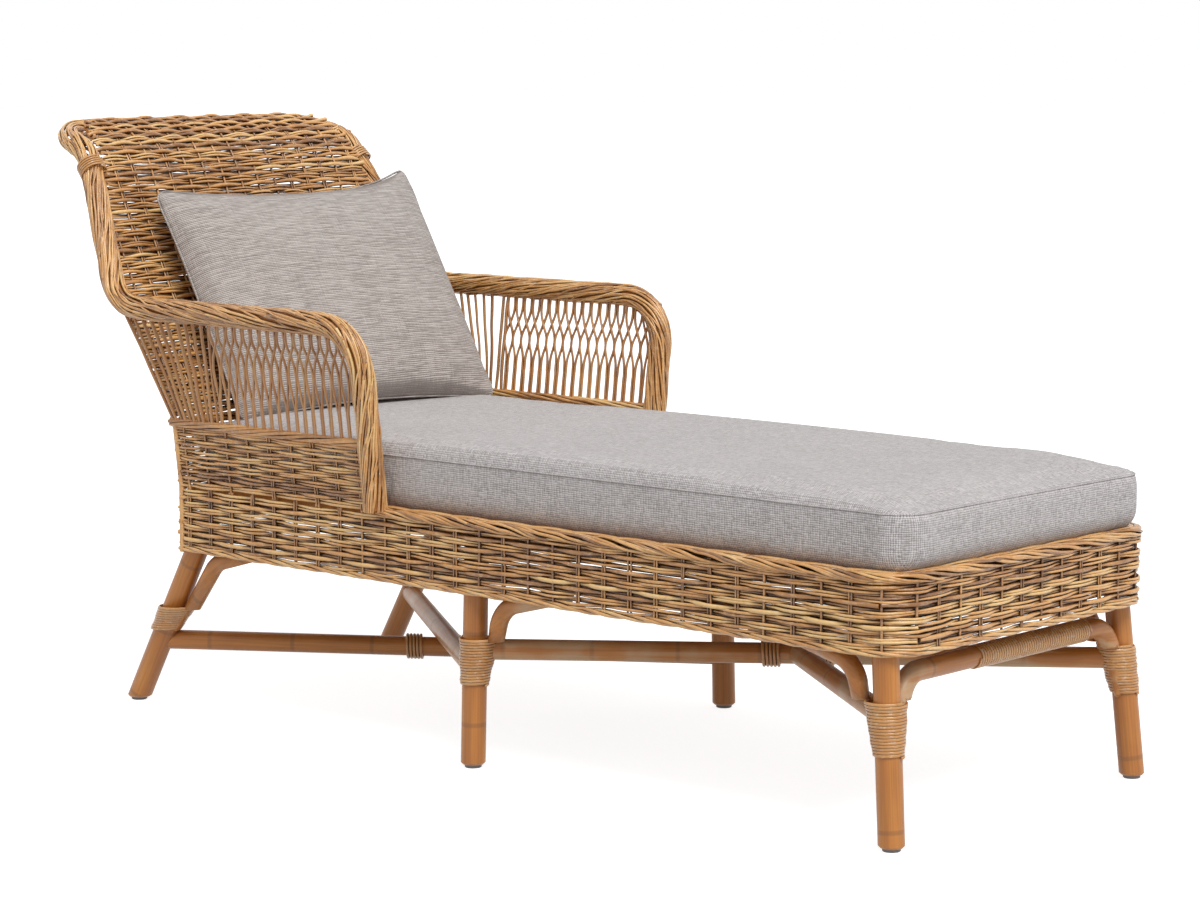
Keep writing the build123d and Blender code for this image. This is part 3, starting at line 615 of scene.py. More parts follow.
def weave(place, rows, stakes, ends, radius, swing, paired=MOSTLY_PAIRS):
    """Plain weave: canes along rows that pass in front of one stake and behind the next."""
    canes = []
    for number, height in enumerate(rows):
        first, last = ends(height)
        low, high = first + END_CLEAR, last - END_CLEAR
        inside = [index for index, stake in enumerate(stakes) if low < stake < high]
        if not inside:
            continue
        drift = 0.0
        route = []
        for index in [inside[0] - 1] + inside + [inside[-1] + 1]:
            side = 1.0 if (index + number) % 2 else -1.0
            drift = 0.6 * drift + picker.gauss(0.0, ROW_WANDER)
            along = first if index < inside[0] else last if index > inside[-1] else stakes[index]
            route.append((along, height + drift, side))
        for part in lengths_of(route):
            canes += row_canes(place, part, radius, swing, paired)
    return canes


skirt_stakes = spaced(0.024, skirt_length - 0.024, STAKE_GAP)
skirt_rows = spaced(skirt_foot_z + 0.013, rim_z - 0.012, ROW_GAP)
print("stakes and rows of the skirt:", len(skirt_stakes), len(skirt_rows))

# %% Shade lining and stakes
LINING_STEP = 0.045
LINING_WAVE = 0.0020
LINING_INSET = 0.004
LINING_TAPER = 0.14
UPRIGHT_STEP = 0.03
STAKE_PAIR = (-0.0022, 0.0024)
STAKES_PAIRED = 0.45


def shade_lining(place, rows, ends, radius, out):
    """Plain, darker canes behind a weave, which close the slits between its rows as painted shade."""
    canes = []
    for number, (below, above) in enumerate(zip(rows, rows[1:])):
        height = (below + above) / 2
        first, last = ends(height)
        points = []
        for step, along in enumerate(spaced(first + LINING_INSET, last - LINING_INSET, LINING_STEP)):
            wave = LINING_WAVE if (step + number) % 2 else -LINING_WAVE
            points.append(place(along, height + picker.gauss(0.0, 0.0006), out + wave))
        # Darker shades only: the lining stands in for the shade in the slits.
        canes.append(cane(points, radius, LINING_TAPER, picker.randint(1, SHADES // 2)))
    return canes


def uprights(place, stakes, low, high, radius):
    """Stakes of a panel, now and then in pairs, that run between two heights."""
    canes = []
    for stake in stakes:
        bottom, top = low(stake), high(stake)
        count = max(3, round((top - bottom) / UPRIGHT_STEP))
        offsets = STAKE_PAIR if picker.random() < STAKES_PAIRED else (0.0,)
        for offset in offsets:
            points = []
            for step in range(count + 1):
                height = bottom + (top - bottom) * step / count
                sway = picker.gauss(0.0, 0.0006)
                points.append(place(stake + offset + sway, height, picker.gauss(0.0, 0.0004)))
            thick = 0.8 if len(offsets) > 1 else 1.0
            # The stakes take shades from the darker half: partly their own darker colour, partly painted
            # shade so that they read as dark gaps.
            canes.append(cane(points, radius * thick, USUAL_TAPER, picker.randint(0, SHADES // 2)))
    return canes


def skirt_ends(height):
    """Where a row of the skirt begins and ends."""
    return (0.002, skirt_length - 0.002)


WEAVER = 0.0024
STAKE = 0.0021
skirt_canes = weave(row_on_skirt, skirt_rows, skirt_stakes, skirt_ends, WEAVER, swing=0.0034)
# Darker lining canes behind the skirt, as painted shade in the slits between rows.
skirt_canes += shade_lining(row_on_skirt, skirt_rows, skirt_ends, radius=0.0038, out=-0.0060)
skirt_canes += uprights(on_skirt, skirt_stakes, lambda stake: skirt_foot_z + 0.003,
                        lambda stake: rim_z - 0.004, STAKE)
print("skirt canes:", len(skirt_canes))

# %% [markdown]
# ## Twisted edges
# Both edges of the skirt are closed with canes laid round each other like a loose rope, and two
# thinner courses run inside the rim, beside the cushion. The same helper later makes the thick
# bundled borders, so it takes any line: it carries a pair of cross directions along the line and
# lets each cane circle about it slowly, with some wandering.

# %% Bundles of canes


def carried_frames(points):
    """Tangents and cross directions along a line, turned as little as possible."""
    line = [Vector(point) for point in points]
    tangents = []
    for index in range(len(line)):
        before = line[max(0, index - 1)]
        after = line[min(len(line) - 1, index + 1)]
        tangents.append((after - before).normalized())
    normal = tangents[0].orthogonal().normalized()
    frames = []
    for index, tangent in enumerate(tangents):
        if index:
            normal = tangents[index - 1].rotation_difference(tangent) @ normal
        normal = (normal - tangent * normal.dot(tangent)).normalized()
        frames.append((line[index], normal, tangent.cross(normal)))
    return frames


def bundle(points, count, reach, radius, twist, wander=0.0, start=0.0, loose=0.0):
    """Canes laid round a line: reach is their distance from it, twist is in turns per metre."""
    frames = carried_frames(points)
    canes = []
    for number in range(count):
        angle = start + 2 * math.pi * number / count
        sway = 0.0
        travelled = 0.0
        path = []
        for index, (middle, across, up) in enumerate(frames):
            if index:
                travelled += (middle - frames[index - 1][0]).length
            sway = 0.75 * sway + picker.gauss(0.0, wander)
            turn = angle + 2 * math.pi * twist * travelled + sway
            away = reach + picker.gauss(0.0, loose)
            spot = middle + across * (away * math.cos(turn)) + up * (away * math.sin(turn))
            path.append(tuple(spot))
        canes.append(cane(path, radius))
    return canes


print("bundle helpers ready")

# %% Edges of the skirt
LINE_STEP = 0.02


def skirt_line(height, start, out=0.0):
    """Level line along the skirt, from a start to the same place on the left."""
    return [on_skirt(along, height, out) for along in spaced(start, skirt_length - start, LINE_STEP)]


INNER_PLACES = (-0.0095, -0.0145)
CORNER_INSET = 0.006
CORNER_POST = 0.0052
border_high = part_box("arm_border_right")[1]
rim_start = border_high.x - rear_x - 0.018
top_line = skirt_line(rim_z - 0.0025, rim_start)
inner_lines = [skirt_line(rim_z + 0.0030, rim_start, out) for out in INNER_PLACES]
foot_line = skirt_line(skirt_foot_z + 0.0055, 0.0)
skirt_canes += bundle(top_line, 10, reach=0.0064, radius=0.0024, twist=4.0, wander=0.20, loose=0.0008)
for line in inner_lines:
    skirt_canes += bundle(line, 2, reach=0.0016, radius=0.0026, twist=6.0)
skirt_canes += bundle(foot_line, 3, reach=0.0030, radius=0.0028, twist=7.0, wander=0.10, loose=0.0004)
for side in (-1.0, 1.0):
    heights = spaced(skirt_foot_z, rim_z, UPRIGHT_STEP)
    corner = [(rear_x + CORNER_INSET, side * skirt_y, height) for height in heights]
    skirt_canes.append(cane(corner, CORNER_POST))
dress_canes("woven_skirt", skirt_canes, wicker, "apron_right", "apron_left", "apron_front")

# %% [markdown]
# ## Woven panels of the arms and the rear
# Below the arm's middle rail the side of the chaise is woven like the skirt, but it leans outwards.
# The rear is a flat panel. Both are made by the same weave from a different walk.

# %% Arm panels
SIDES = ((-1.0, "right"), (1.0, "left"))
BORDER_RADIUS = 19.0 * MM
ARM_FLARE = 34.0 * MM
ARM_SWING = 0.0033
arm_rail_z = 0.667
mid_rail_z = 0.482
arm_lean = ARM_FLARE / (arm_rail_z - rim_z)
panel_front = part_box("arm_weave_right")[1].x


def arm_out(height):
    """How far the middle of an arm stands from the centre line."""
    return skirt_y + (height - rim_z) * arm_lean


def on_arm(side):
    """Walk along the arm on one side: -1 is right and 1 is left."""
    def place(along, height, out=0.0):
        return (along, side * (arm_out(height) + out), height)
    return place


arm_stakes = [rear_x + stake for stake in skirt_stakes if rear_x + stake < panel_front - 0.01]
arm_rows = spaced(rim_z + 0.002, mid_rail_z - 0.012, 0.0088)
arm_ends = (rear_x + 0.004, panel_front + 0.012)
for side, hand in SIDES:
    place = on_arm(side)
    canes = weave(place, arm_rows, arm_stakes, lambda height: arm_ends, WEAVER, ARM_SWING)
    canes += uprights(place, arm_stakes, lambda stake: rim_z - 0.01, lambda stake: mid_rail_z, STAKE)
    corner = [place(rear_x + CORNER_INSET, height) for height in spaced(rim_z, mid_rail_z, UPRIGHT_STEP)]
    canes.append(cane(corner, CORNER_POST))
    dress_canes(f"arm_panel_{hand}", canes, wicker, f"arm_weave_{hand}", steps=4)

# %% Rear panel
rear_low, rear_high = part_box("apron_rear")
rear_mid_x = (rear_low.x + rear_high.x) / 2


def on_rear(along, height, out=0.0):
    """Walk across the rear panel, from right to left; out is backwards."""
    return (rear_mid_x - out, along, height)


rear_stakes = spaced(rear_low.y + 0.03, rear_high.y - 0.03, STAKE_GAP)
rear_rows = spaced(rear_low.z + 0.01, rear_high.z - 0.004, 0.0090)
rear_ends = (rear_low.y + 0.003, rear_high.y - 0.003)
rear_canes = weave(on_rear, rear_rows, rear_stakes, lambda height: rear_ends, WEAVER, ARM_SWING)
rear_canes += uprights(on_rear, rear_stakes, lambda stake: rear_low.z,
                       lambda stake: rear_high.z + 0.004, STAKE)
rear_edge = [on_rear(along, rear_low.z + 0.005) for along in spaced(rear_low.y, rear_high.y, LINE_STEP)]
rear_canes += bundle(rear_edge, 3, reach=0.0030, radius=0.0028, twist=7.0, wander=0.1)
dress_canes("woven_rear", rear_canes, wicker, "apron_rear", steps=4)

# %% [markdown]
# ## The woven back
# The back sweeps up in a shallow hollow and rolls over at the crest. Its walk follows that profile:
# a shallow arc, then a tighter one that leaves it smoothly. Rows run from side to side on stakes that
# run up the back and over the roll, closer together than in the skirt. The back has the same darker
# lining behind it, as painted shade in its slits.

# %% Profile of the back
back_foot = Vector((rear_mid_x, mid_rail_z + 0.008))
back_top = Vector((rear_mid_x - 0.206, 0.880))
crest_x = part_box("crest_border")[0].x + BORDER_RADIUS
crest_edge = Vector((crest_x + BORDER_RADIUS, 0.962))
BACK_HOLLOW = 0.011


def arc_between(start, end, heading, count):
    """Points of the arc that leaves start along a heading and ends at end."""
    chord = end - start
    normal = Vector((-heading.y, heading.x))
    reach = chord.length_squared / (2 * chord.dot(normal))
    center = start + normal * reach
    first = start - center
    turn = first.angle_signed(end - center)
    return [center + Matrix.Rotation(-turn * step / count, 2) @ first for step in range(count + 1)]


chord = back_top - back_foot
bow = 2 * math.atan2(BACK_HOLLOW, chord.length / 2)
foot_heading = Matrix.Rotation(bow, 2) @ chord.normalized()
top_heading = Matrix.Rotation(-bow, 2) @ chord.normalized()
SWEEP_STEPS = 24
ROLL_STEPS = 14
profile = arc_between(back_foot, back_top, foot_heading, SWEEP_STEPS)
profile += arc_between(back_top, crest_edge, top_heading, ROLL_STEPS)[1:]
profile_walk = [0.0]
for before, after in zip(profile, profile[1:]):
    profile_walk.append(profile_walk[-1] + (after - before).length)
profile_x = [point.x for point in profile]
profile_z = [point.y for point in profile]
back_length = profile_walk[-1]
print("profile length of the back:", round(back_length, 3))

# %% Rows and stakes of the back
WALK_STEP = 0.004
EDGE_HEIGHTS = [0.48, 0.648, 0.667, 0.885, 0.935]
EDGE_HALVES = [0.3255, 0.3425, 0.3460, 0.296, 0.284]
CREST_ROUND = 0.076


def on_profile(walk):
    """Place on the back's profile at a distance from its foot."""
    here = [float(np.interp(walk, profile_walk, values)) for values in (profile_x, profile_z)]
    return Vector(here)


def on_back(along, walk, out=0.0):
    """Walk across the back at a distance up its profile; out is towards the sitter."""
    here = on_profile(walk)
    run = (on_profile(walk + WALK_STEP) - on_profile(walk - WALK_STEP)).normalized()
    return (here.x + run.y * out, along, here.y - run.x * out)


def back_ends(walk):
    """Where a row of the back ends on both sides."""
    here = on_profile(walk)
    half = float(np.interp(here.y, EDGE_HEIGHTS, EDGE_HALVES))
    left_over = here.x - crest_edge.x
    if left_over < CREST_ROUND:
        half -= CREST_ROUND - math.sqrt(CREST_ROUND ** 2 - (CREST_ROUND - max(0.0, left_over)) ** 2)
    return (-half, half)


back_stakes = spaced(-0.31, 0.31, 0.0385)
back_rows = spaced(0.004, back_length - 0.003, 0.0097)
back_canes = weave(on_back, back_rows, back_stakes, back_ends, radius=0.0025, swing=0.0032, paired=0.45)
# Darker lining canes behind the back, as painted shade in the slits between rows.
back_canes += shade_lining(on_back, back_rows, back_ends, radius=0.0043, out=-0.0056)


def highest_walk(stake):
    """How far up the profile a stake reaches before the back's edge cuts it."""
    return max(walk for walk in back_rows if back_ends(walk)[1] > abs(stake) + 0.004)


back_canes += uprights(on_back, back_stakes, lambda stake: 0.0, highest_walk, 0.0022)
dress_canes("woven_back", back_canes, wicker, "back_panel", steps=4)

# %% [markdown]
# ## Bundled borders
# The arm rail, its front post and the side of the back are one border: some twenty canes laid along
# a core pole with a slow twist, so that they look like a thick rope combed out. A second, thinner
# layer wanders over the first. The crest has a border of its own round a core pole, tied to the side
# borders.

# %% Lines of the borders


def rounded(corners, bend, gap):
    """Points along straight runs whose corners are turned on arcs."""
    corners = [Vector(corner) for corner in corners]
    points = [corners[0]]
    for before, corner, after in zip(corners, corners[1:], corners[2:]):
        into = (corner - before).normalized()
        out = (after - corner).normalized()
        turn = into.angle(out)
        cut = bend * math.tan(turn / 2)
        start = corner - into * cut
        center = corner + (out - into).normalized() * (bend / math.cos(turn / 2))
        spin_axis = into.cross(out).normalized()
        count = max(3, math.ceil(bend * turn / gap))
        for step in range(count + 1):
            turned = Matrix.Rotation(turn * step / count, 3, spin_axis)
            points.append(center + turned @ (start - center))
    points.append(corners[-1])
    filled = [points[0]]
    for before, after in zip(points, points[1:]):
        count = max(1, round((after - before).length / gap))
        filled += [before.lerp(after, step / count) for step in range(1, count + 1)]
    return filled


BORDER_OUT = 6.0 * MM
post_x = border_high.x - BORDER_RADIUS
tie_place = Vector((rear_x - 0.219, -0.307, 0.885))
arm_corner = Vector((rear_x - 0.101, -arm_out(arm_rail_z) - BORDER_OUT, arm_rail_z))
post_top = Vector((post_x, arm_corner.y, arm_rail_z))
post_foot = Vector((post_x, -skirt_y - BORDER_OUT, rim_z))
crest_corner = Vector((crest_x, -0.300, 0.945))


def mirrored(point):
    """The same place on the left."""
    return Vector((point.x, -point.y, point.z))


BORDER_STEP = 0.022
ROLL_SHARE = 0.30
side_line = rounded([tie_place, arm_corner, post_top, post_foot], bend=0.080, gap=BORDER_STEP)
roll_start = profile_walk[SWEEP_STEPS]
roll_walk = roll_start + (back_length - roll_start) * ROLL_SHARE
crest_half = [tie_place, Vector(on_back(-0.302, roll_walk, -0.005)), crest_corner]
crest_other_half = [mirrored(point) for point in reversed(crest_half)]
crest_line = rounded(crest_half + crest_other_half, bend=0.070, gap=BORDER_STEP)
print("points along a side border and the crest:", len(side_line), len(crest_line))

# %% Canes of the borders


def shortened(canes, least, most):
    """Long canes broken into shorter ones that end at different places."""
    parts = []
    for points, radii, shade in canes:
        start = 0
        while start < len(points) - 3:
            stop = min(len(points), start + picker.randint(least, most))
            if len(points) - stop < 4:
                stop = len(points)
            thick = picker.uniform(0.8, 1.12)
            body = [radius * thick for radius in radii[start:stop]]
            parts.append((points[start:stop], body, any_shade()))
            start = stop - 2
    return parts


def border_canes(line, twist):
    """Two layers of canes over a core pole."""
    canes = bundle(line, 23, reach=0.0163, radius=0.0024, twist=twist, wander=0.07, loose=0.0008)
    canes += bundle(line, 11, 0.0176, 0.0019, 1.7 * twist, wander=0.16, start=0.2, loose=0.0006)
    return shortened(canes, least=9, most=22)


SIDE_TWIST = 1.4
CREST_TWIST = 1.6
for side, hand in SIDES:
    line = [mirrored(point) for point in side_line] if side > 0 else side_line
    canes = border_canes(line, -side * SIDE_TWIST)
    dress_canes(f"bundled_border_{hand}", canes, wicker, f"arm_border_{hand}")
dress_canes("bundled_crest", border_canes(crest_line, CREST_TWIST), wicker, "crest_border", "crest_pole")

# %% [markdown]
# ## Diamond lattice
# Each stake of the arm is a pair of thin canes. They stand side by side to half the height, then part
# and cross their neighbours, which leaves rows of pointed openings below the arm rail. Towards the
# rear the stakes stand close together and fan out to follow the raked back.

# %% Lattice canes
LATTICE_GAP = 0.0195
CROSSING_RISE = 0.027
LATTICE_SWINGS = (0.41, 1.15, 0.17, -1.15, -0.50)
LATTICE_CANE = 0.0023
PAIR_HALF_GAP = 0.0018
CROSSING_OVER = 0.0016
lattice_foot_z = mid_rail_z
lattice_top_z = arm_rail_z - 0.012
split_z = 0.648 - 4 * CROSSING_RISE
upright_heights = (lattice_foot_z, lattice_foot_z + 0.022, lattice_foot_z + 0.045, split_z - 0.010)
first_stake = panel_front - 0.009
FAN_START = -0.455
FAN_REACH = -0.098
FAN_GAP = 0.0105
pair_count = int((first_stake - FAN_START) / LATTICE_GAP)


def crossing_pair(place, stake):
    """Two canes that stand side by side and then cross their neighbours."""
    canes = []
    for hand in (-1.0, 1.0):
        points = []
        for height in upright_heights:
            along = stake + hand * PAIR_HALF_GAP + picker.gauss(0, 0.0004)
            points.append(place(along, height, hand * 0.0006))
        for crossing, share in enumerate(LATTICE_SWINGS):
            height = split_z + (crossing + 0.45) * CROSSING_RISE
            swing = share * LATTICE_GAP / 2
            over = hand * (CROSSING_OVER if crossing % 2 else -CROSSING_OVER)
            along = min(first_stake + 0.008, stake + hand * swing + picker.gauss(0, 0.0006))
            points.append(place(along, min(height, lattice_top_z + 0.01), over))
        canes.append(cane(points, LATTICE_CANE))
    return canes


def fanned_stake(place, stake, out):
    """One stake behind the lattice, leaning towards the raked back."""
    lean = picker.gauss(0.0, 0.003)
    share = max(0.0, (FAN_START - stake) / (FAN_START - rear_x))
    points = []
    for height in spaced(lattice_foot_z, lattice_top_z, UPRIGHT_STEP):
        rise = (height - lattice_foot_z) / (lattice_top_z - lattice_foot_z)
        along = stake + FAN_REACH * share * rise + lean * rise + picker.gauss(0, 0.0009)
        points.append(place(along, height, out + picker.gauss(0, 0.0005)))
    return cane(points, picker.uniform(LATTICE_CANE, 0.0032))


def lattice_canes(side):
    """Crossing pairs in front, close stakes behind."""
    place = on_arm(side)
    canes = []
    for number in range(pair_count + 1):
        canes += crossing_pair(place, first_stake - number * LATTICE_GAP)
    last_fanned = first_stake - (pair_count + 0.6) * LATTICE_GAP
    for number, stake in enumerate(spaced(rear_x + 0.004, last_fanned, FAN_GAP)):
        canes.append(fanned_stake(place, stake, (-0.0012, 0.0012)[number % 2]))
    return canes


for side, hand in SIDES:
    canes = lattice_canes(side)
    dress_canes(f"diamond_lattice_{hand}", canes, lattice_cane, f"arm_lattice_{hand}", steps=4)

# %% [markdown]
# ## Plaited middle rails
# Between lattice and weave runs a rail of a few canes laid round each other. The same rail goes
# across the foot of the back.

# %% Middle rails


def plait(line, twist, loose=0.0):
    """Six canes laid round each other."""
    return bundle(line, 6, reach=0.0050, radius=0.0030, twist=twist, wander=0.12, loose=loose)


for side, hand in SIDES:
    place = on_arm(side)
    line = [place(along, mid_rail_z) for along in spaced(rear_x - 0.004, panel_front + 0.004, LINE_STEP)]
    dress_canes(f"plaited_rail_{hand}", plait(line, 3.2 * side, 0.0004), wicker, f"arm_mid_rail_{hand}")
low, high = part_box("back_lower_rail")
line = [(rear_mid_x, along, mid_rail_z) for along in spaced(low.y, high.y, LINE_STEP)]
dress_canes("plaited_back_rail", plait(line, 3.0), wicker, "back_lower_rail")

# %% [markdown]
# ## Bound joints
# Where braces, hoop and stretchers meet a leg, flat cane is wound tightly round the joint. A screw is
# a spin that also climbs: the section of the cane is drawn once, and spinning it with a step along
# the axis gives every turn. On a leg the turns are then pushed out towards the brace.

# %% Wound cane
BINDING_WARMTH = 0.45
BINDING_SHADE = 0.55
WOUND_GRAIN = (3.0, 2.0, 6.0)
binding_cane = wicker_finish("binding_cane", BINDING_WARMTH)


def winding(shape, radius, width, thickness, pitch, turns, steps=18):
    """Flat cane wound about the Z axis, centred on the origin, added to a bmesh."""
    section = bmesh.ops.create_circle(shape, segments=8, radius=1.0)["verts"]
    squeeze = Matrix.Diagonal((thickness / 2, width / 2, 1.0, 1.0))
    start = Matrix.Translation((radius, 0.0, -turns * pitch / 2))
    stand = start @ Matrix.Rotation(math.pi / 2, 4, "X") @ squeeze
    bmesh.ops.transform(shape, matrix=stand, verts=section)
    ring = list(dict.fromkeys(edge for vert in section for edge in vert.link_edges))
    count = turns * steps
    bmesh.ops.spin(shape, geom=ring, cent=(0, 0, 0), axis=(0, 0, 1), dvec=(0, 0, pitch / steps),
                   angle=2 * math.pi * turns, steps=count, use_duplicate=False)
    bmesh.ops.holes_fill(shape, edges=[edge for edge in shape.edges if edge.is_boundary], sides=8)
    bmesh.ops.recalc_face_normals(shape, faces=shape.faces)


def wound_mesh(name, shape):
    """Finish a wound bmesh as a smooth mesh that has a shade attribute and a UV map."""
    for face in shape.faces:
        face.smooth = True
    uv = shape.loops.layers.uv.new("UVMap")
    for face in shape.faces:
        for loop in face.loops:
            x, y, z = (place * grain for place, grain in zip(loop.vert.co, WOUND_GRAIN))
            loop[uv].uv = (x + y, z)
    mesh = mesh_of(name, shape)
    shades = mesh.attributes.new("shade", "FLOAT", "FACE")
    shades.data.foreach_set("value", np.full(len(mesh.polygons), BINDING_SHADE, np.float32))
    return mesh


def dress_winding(name, shape, node):
    """Make a wound bmesh a binding of the frame."""
    dress(name, wound_mesh(name, shape), binding_cane, "frame", "binding_cane", node)


print("winding helpers ready")

# %% Winding of the hoop
hoop_low, hoop_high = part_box("hoop_wrap")
hoop_mid = (hoop_low + hoop_high) / 2
HOOP_TURNS = 48
HOOP_RADIUS = 0.0122
hoop_pitch = (hoop_high.y - hoop_low.y) / HOOP_TURNS
hoop_shape = bmesh.new()
winding(hoop_shape, HOOP_RADIUS + BARK, width=0.0054, thickness=0.0022, pitch=hoop_pitch, turns=HOOP_TURNS)
along_hoop = Matrix.Translation(hoop_mid) @ Matrix.Rotation(math.pi / 2, 4, "X")
bmesh.ops.transform(hoop_shape, matrix=along_hoop, verts=hoop_shape.verts)
dress_winding("hoop_winding", hoop_shape, "hoop_wrap")

# %% Bindings of the legs
# Each leg: its place under the skirt, its run per metre down, the binding's ends, the way to the brace
LEG_SPOTS = (
    ((-0.545, 0.2936), (-0.568, 0.0), (0.126, 0.172), (1.0, 0.0)),
    ((0.086, 0.2936), (0.0, 0.0297), (0.126, 0.202), (1.0, 0.0)),
    ((0.8548, 0.2891), (0.0892, 0.0507), (0.128, 0.206), (-0.7071, -0.7071)),
)
LEG_RADIUS = 19.0 * MM
BINDING_PITCH = 0.0047
BINDING_FLARE = 0.008
BINDING_STAND = 0.0022
BINDING_SQUEEZE = 0.0125
FINE_STEPS = 24


def leg_winding(spot, side):
    """Turns of cane round one leg, wider above where they go over the brace."""
    (leg_x, leg_y), (run_x, run_y), (low, high), (to_x, to_y) = spot
    turns = round((high - low) / BINDING_PITCH)
    shape = bmesh.new()
    rake = math.hypot(1.0, run_x)
    pitch = (high - low - 0.004) / turns
    winding(shape, 1.0, width=0.0046, thickness=0.18, pitch=pitch, turns=turns, steps=FINE_STEPS)
    middle = (low + high) / 2
    wobble = [picker.uniform(-0.0007, 0.0009) for turn in range(turns + 2)]
    for vert in shape.verts:
        height = middle + vert.co.z
        share = min(1.0, max(0.0, (height - low) / (high - low)))
        turn = min(turns, max(0.0, share * turns))
        uneven = wobble[int(turn)] * (1 - turn % 1) + wobble[int(turn) + 1] * (turn % 1)
        reach = LEG_RADIUS * rake + BINDING_STAND + BINDING_FLARE * share + uneven
        away = math.hypot(vert.co.x, vert.co.y)
        reach += (away - 1.0) * BINDING_SQUEEZE
        down = skirt_foot_z - height
        vert.co.x = vert.co.x / away * reach + leg_x + run_x * down + to_x * BINDING_FLARE * share
        leg_out = leg_y + run_y * down + to_y * BINDING_FLARE * share
        vert.co.y = vert.co.y / away * reach + side * leg_out
        vert.co.z = height
    return shape


bindings = bmesh.new()
for spot in LEG_SPOTS:
    for side in (-1.0, 1.0):
        part = mesh_of("part", leg_winding(spot, side))
        bindings.from_mesh(part)
        bpy.data.meshes.remove(part)
dress_winding("leg_winding", bindings, "leg_bindings")

# %% Crossings and crest ties
crossing_cane = wicker_finish("crossing_cane", BINDING_WARMTH, BINDING_SHADE)
for name in ("crossing_wrap_rear", "crossing_wrap_front"):
    coat(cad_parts[name], crossing_cane)
mitre = ((tie_place - arm_corner).normalized() + (crest_corner - tie_place).normalized()).normalized()
for side, hand in SIDES:
    axis, spot = mitre, tie_place
    if side > 0:
        axis, spot = mirrored(mitre), mirrored(tie_place)
    shape = bmesh.new()
    winding(shape, 0.0218, width=0.0040, thickness=0.0030, pitch=0.0045, turns=5, steps=FINE_STEPS)
    turn = UP.rotation_difference(axis).to_matrix().to_4x4()
    bmesh.ops.transform(shape, matrix=Matrix.Translation(spot) @ turn, verts=shape.verts)
    dress_winding(f"crest_winding_{hand}", shape, f"crest_tie_{hand}")
print("bound joints done")

# %% [markdown]
# ## Linen finish
# The covers are a thick grey slub linen: uneven threads cross at right angles, paler and darker by
# turns. Threads run along all three directions in space, and the direction in which a face looks
# picks the two that lie in it, so that the weave needs no unwrapping.

# %% Linen finish
SEAT_GREYS = ((0.335, 0.31, 0.305, 1.0), (0.555, 0.522, 0.516, 1.0), (0.745, 0.71, 0.703, 1.0))
PILLOW_GREYS = ((0.26, 0.222, 0.202, 1.0), (0.46, 0.405, 0.375, 1.0), (0.63, 0.572, 0.536, 1.0))
THREAD_PITCH = 0.0031
FINE = 420.0
# How many slubs lie along a metre of thread, and how strongly the threads of each axis show
SEAT_SLUB = (95.0, (1.0, 1.0, 1.0))
PILLOW_SLUB = (32.0, (0.6, 0.5, 1.5))


def linen_finish(name, greys, slub_kind, turn=UNTURNED):
    """Grey slub linen whose threads follow the turned axes of space, some axes more than others."""
    long, weights = slub_kind
    dark, middle, pale = greys
    finish = Finish(name)
    spot = finish.turned(turn)
    plain = finish.node("ShaderNodeTexCoord", {}, {}, "Normal")
    facing_sockets = {"Vector": plain, "Rotation": turn}
    facing = finish.node("ShaderNodeMapping", {"vector_type": "NORMAL"}, facing_sockets)
    cloth = 0.0
    stretches = ((FINE, long, long), (long, FINE, long), (long, long, FINE))
    for axis, weight, stretch in zip("XYZ", weights, stretches):
        slub = finish.noise(spot, stretch, 1.5)
        along = finish.node("ShaderNodeSeparateXYZ", {}, {"Vector": spot}, axis)
        thread = finish.sine(along * (2 * math.pi / THREAD_PITCH) + slub * 7.0)
        look = finish.node("ShaderNodeSeparateXYZ", {}, {"Vector": facing}, axis)
        lies_in_face = 1.0 - finish.span(look * look, 0.25, 0.65)
        cloth = cloth + (thread * (0.20 * weight) + slub * (0.5 * weight)) * lies_in_face
    cloud = finish.noise(spot, (7.0, 7.0, 7.0), 3.0)
    tone = finish.mix(finish.span(cloth, 0.26, 0.52), dark, middle)
    tone = finish.mix(finish.span(cloth, 0.48, 0.76), tone, pale)
    tone = finish.mix(finish.span(cloud, 0.35, 0.75) * 0.12, tone, pale)
    finish.shade(Base_Color=tone, Roughness=0.92)
    finish.shader.inputs["Sheen Weight"].default_value = 0.25
    finish.shader.inputs["Sheen Roughness"].default_value = 0.5
    finish.shader.inputs["Specular IOR Level"].default_value = 0.2
    finish.bump(cloth, 0.0016, 0.55)
    return finish.material


seat_linen = linen_finish("seat_linen", SEAT_GREYS, SEAT_SLUB)
print("linen ready")

# %% [markdown]
# ## Cushions
# A cover swells until its seams hold it. Blender's cloth does the same: a copy of the plain block is
# remeshed into even squares, its edges are eased, and pressure blows it up a little, within a few
# millimetres of where it started, so that it still fits its place. Corners that the pressure would
# pull in stay where they are. The top then settles towards the foot end, and one subdivision smooths
# the cover.

# %% Filling a cover


CLOTH_FRAMES = 20
CLOTH_PRESSURE = 3.0


def points_of(mesh, kind="co"):
    """Places or normals of a mesh's vertices as rows of an array."""
    flat = np.empty(len(mesh.vertices) * 3)
    mesh.vertices.foreach_get(kind, flat)
    return flat.reshape(-1, 3)


def move_points(mesh, points):
    """Put a mesh's vertices at new places."""
    mesh.vertices.foreach_set("co", points.ravel())
    mesh.update()


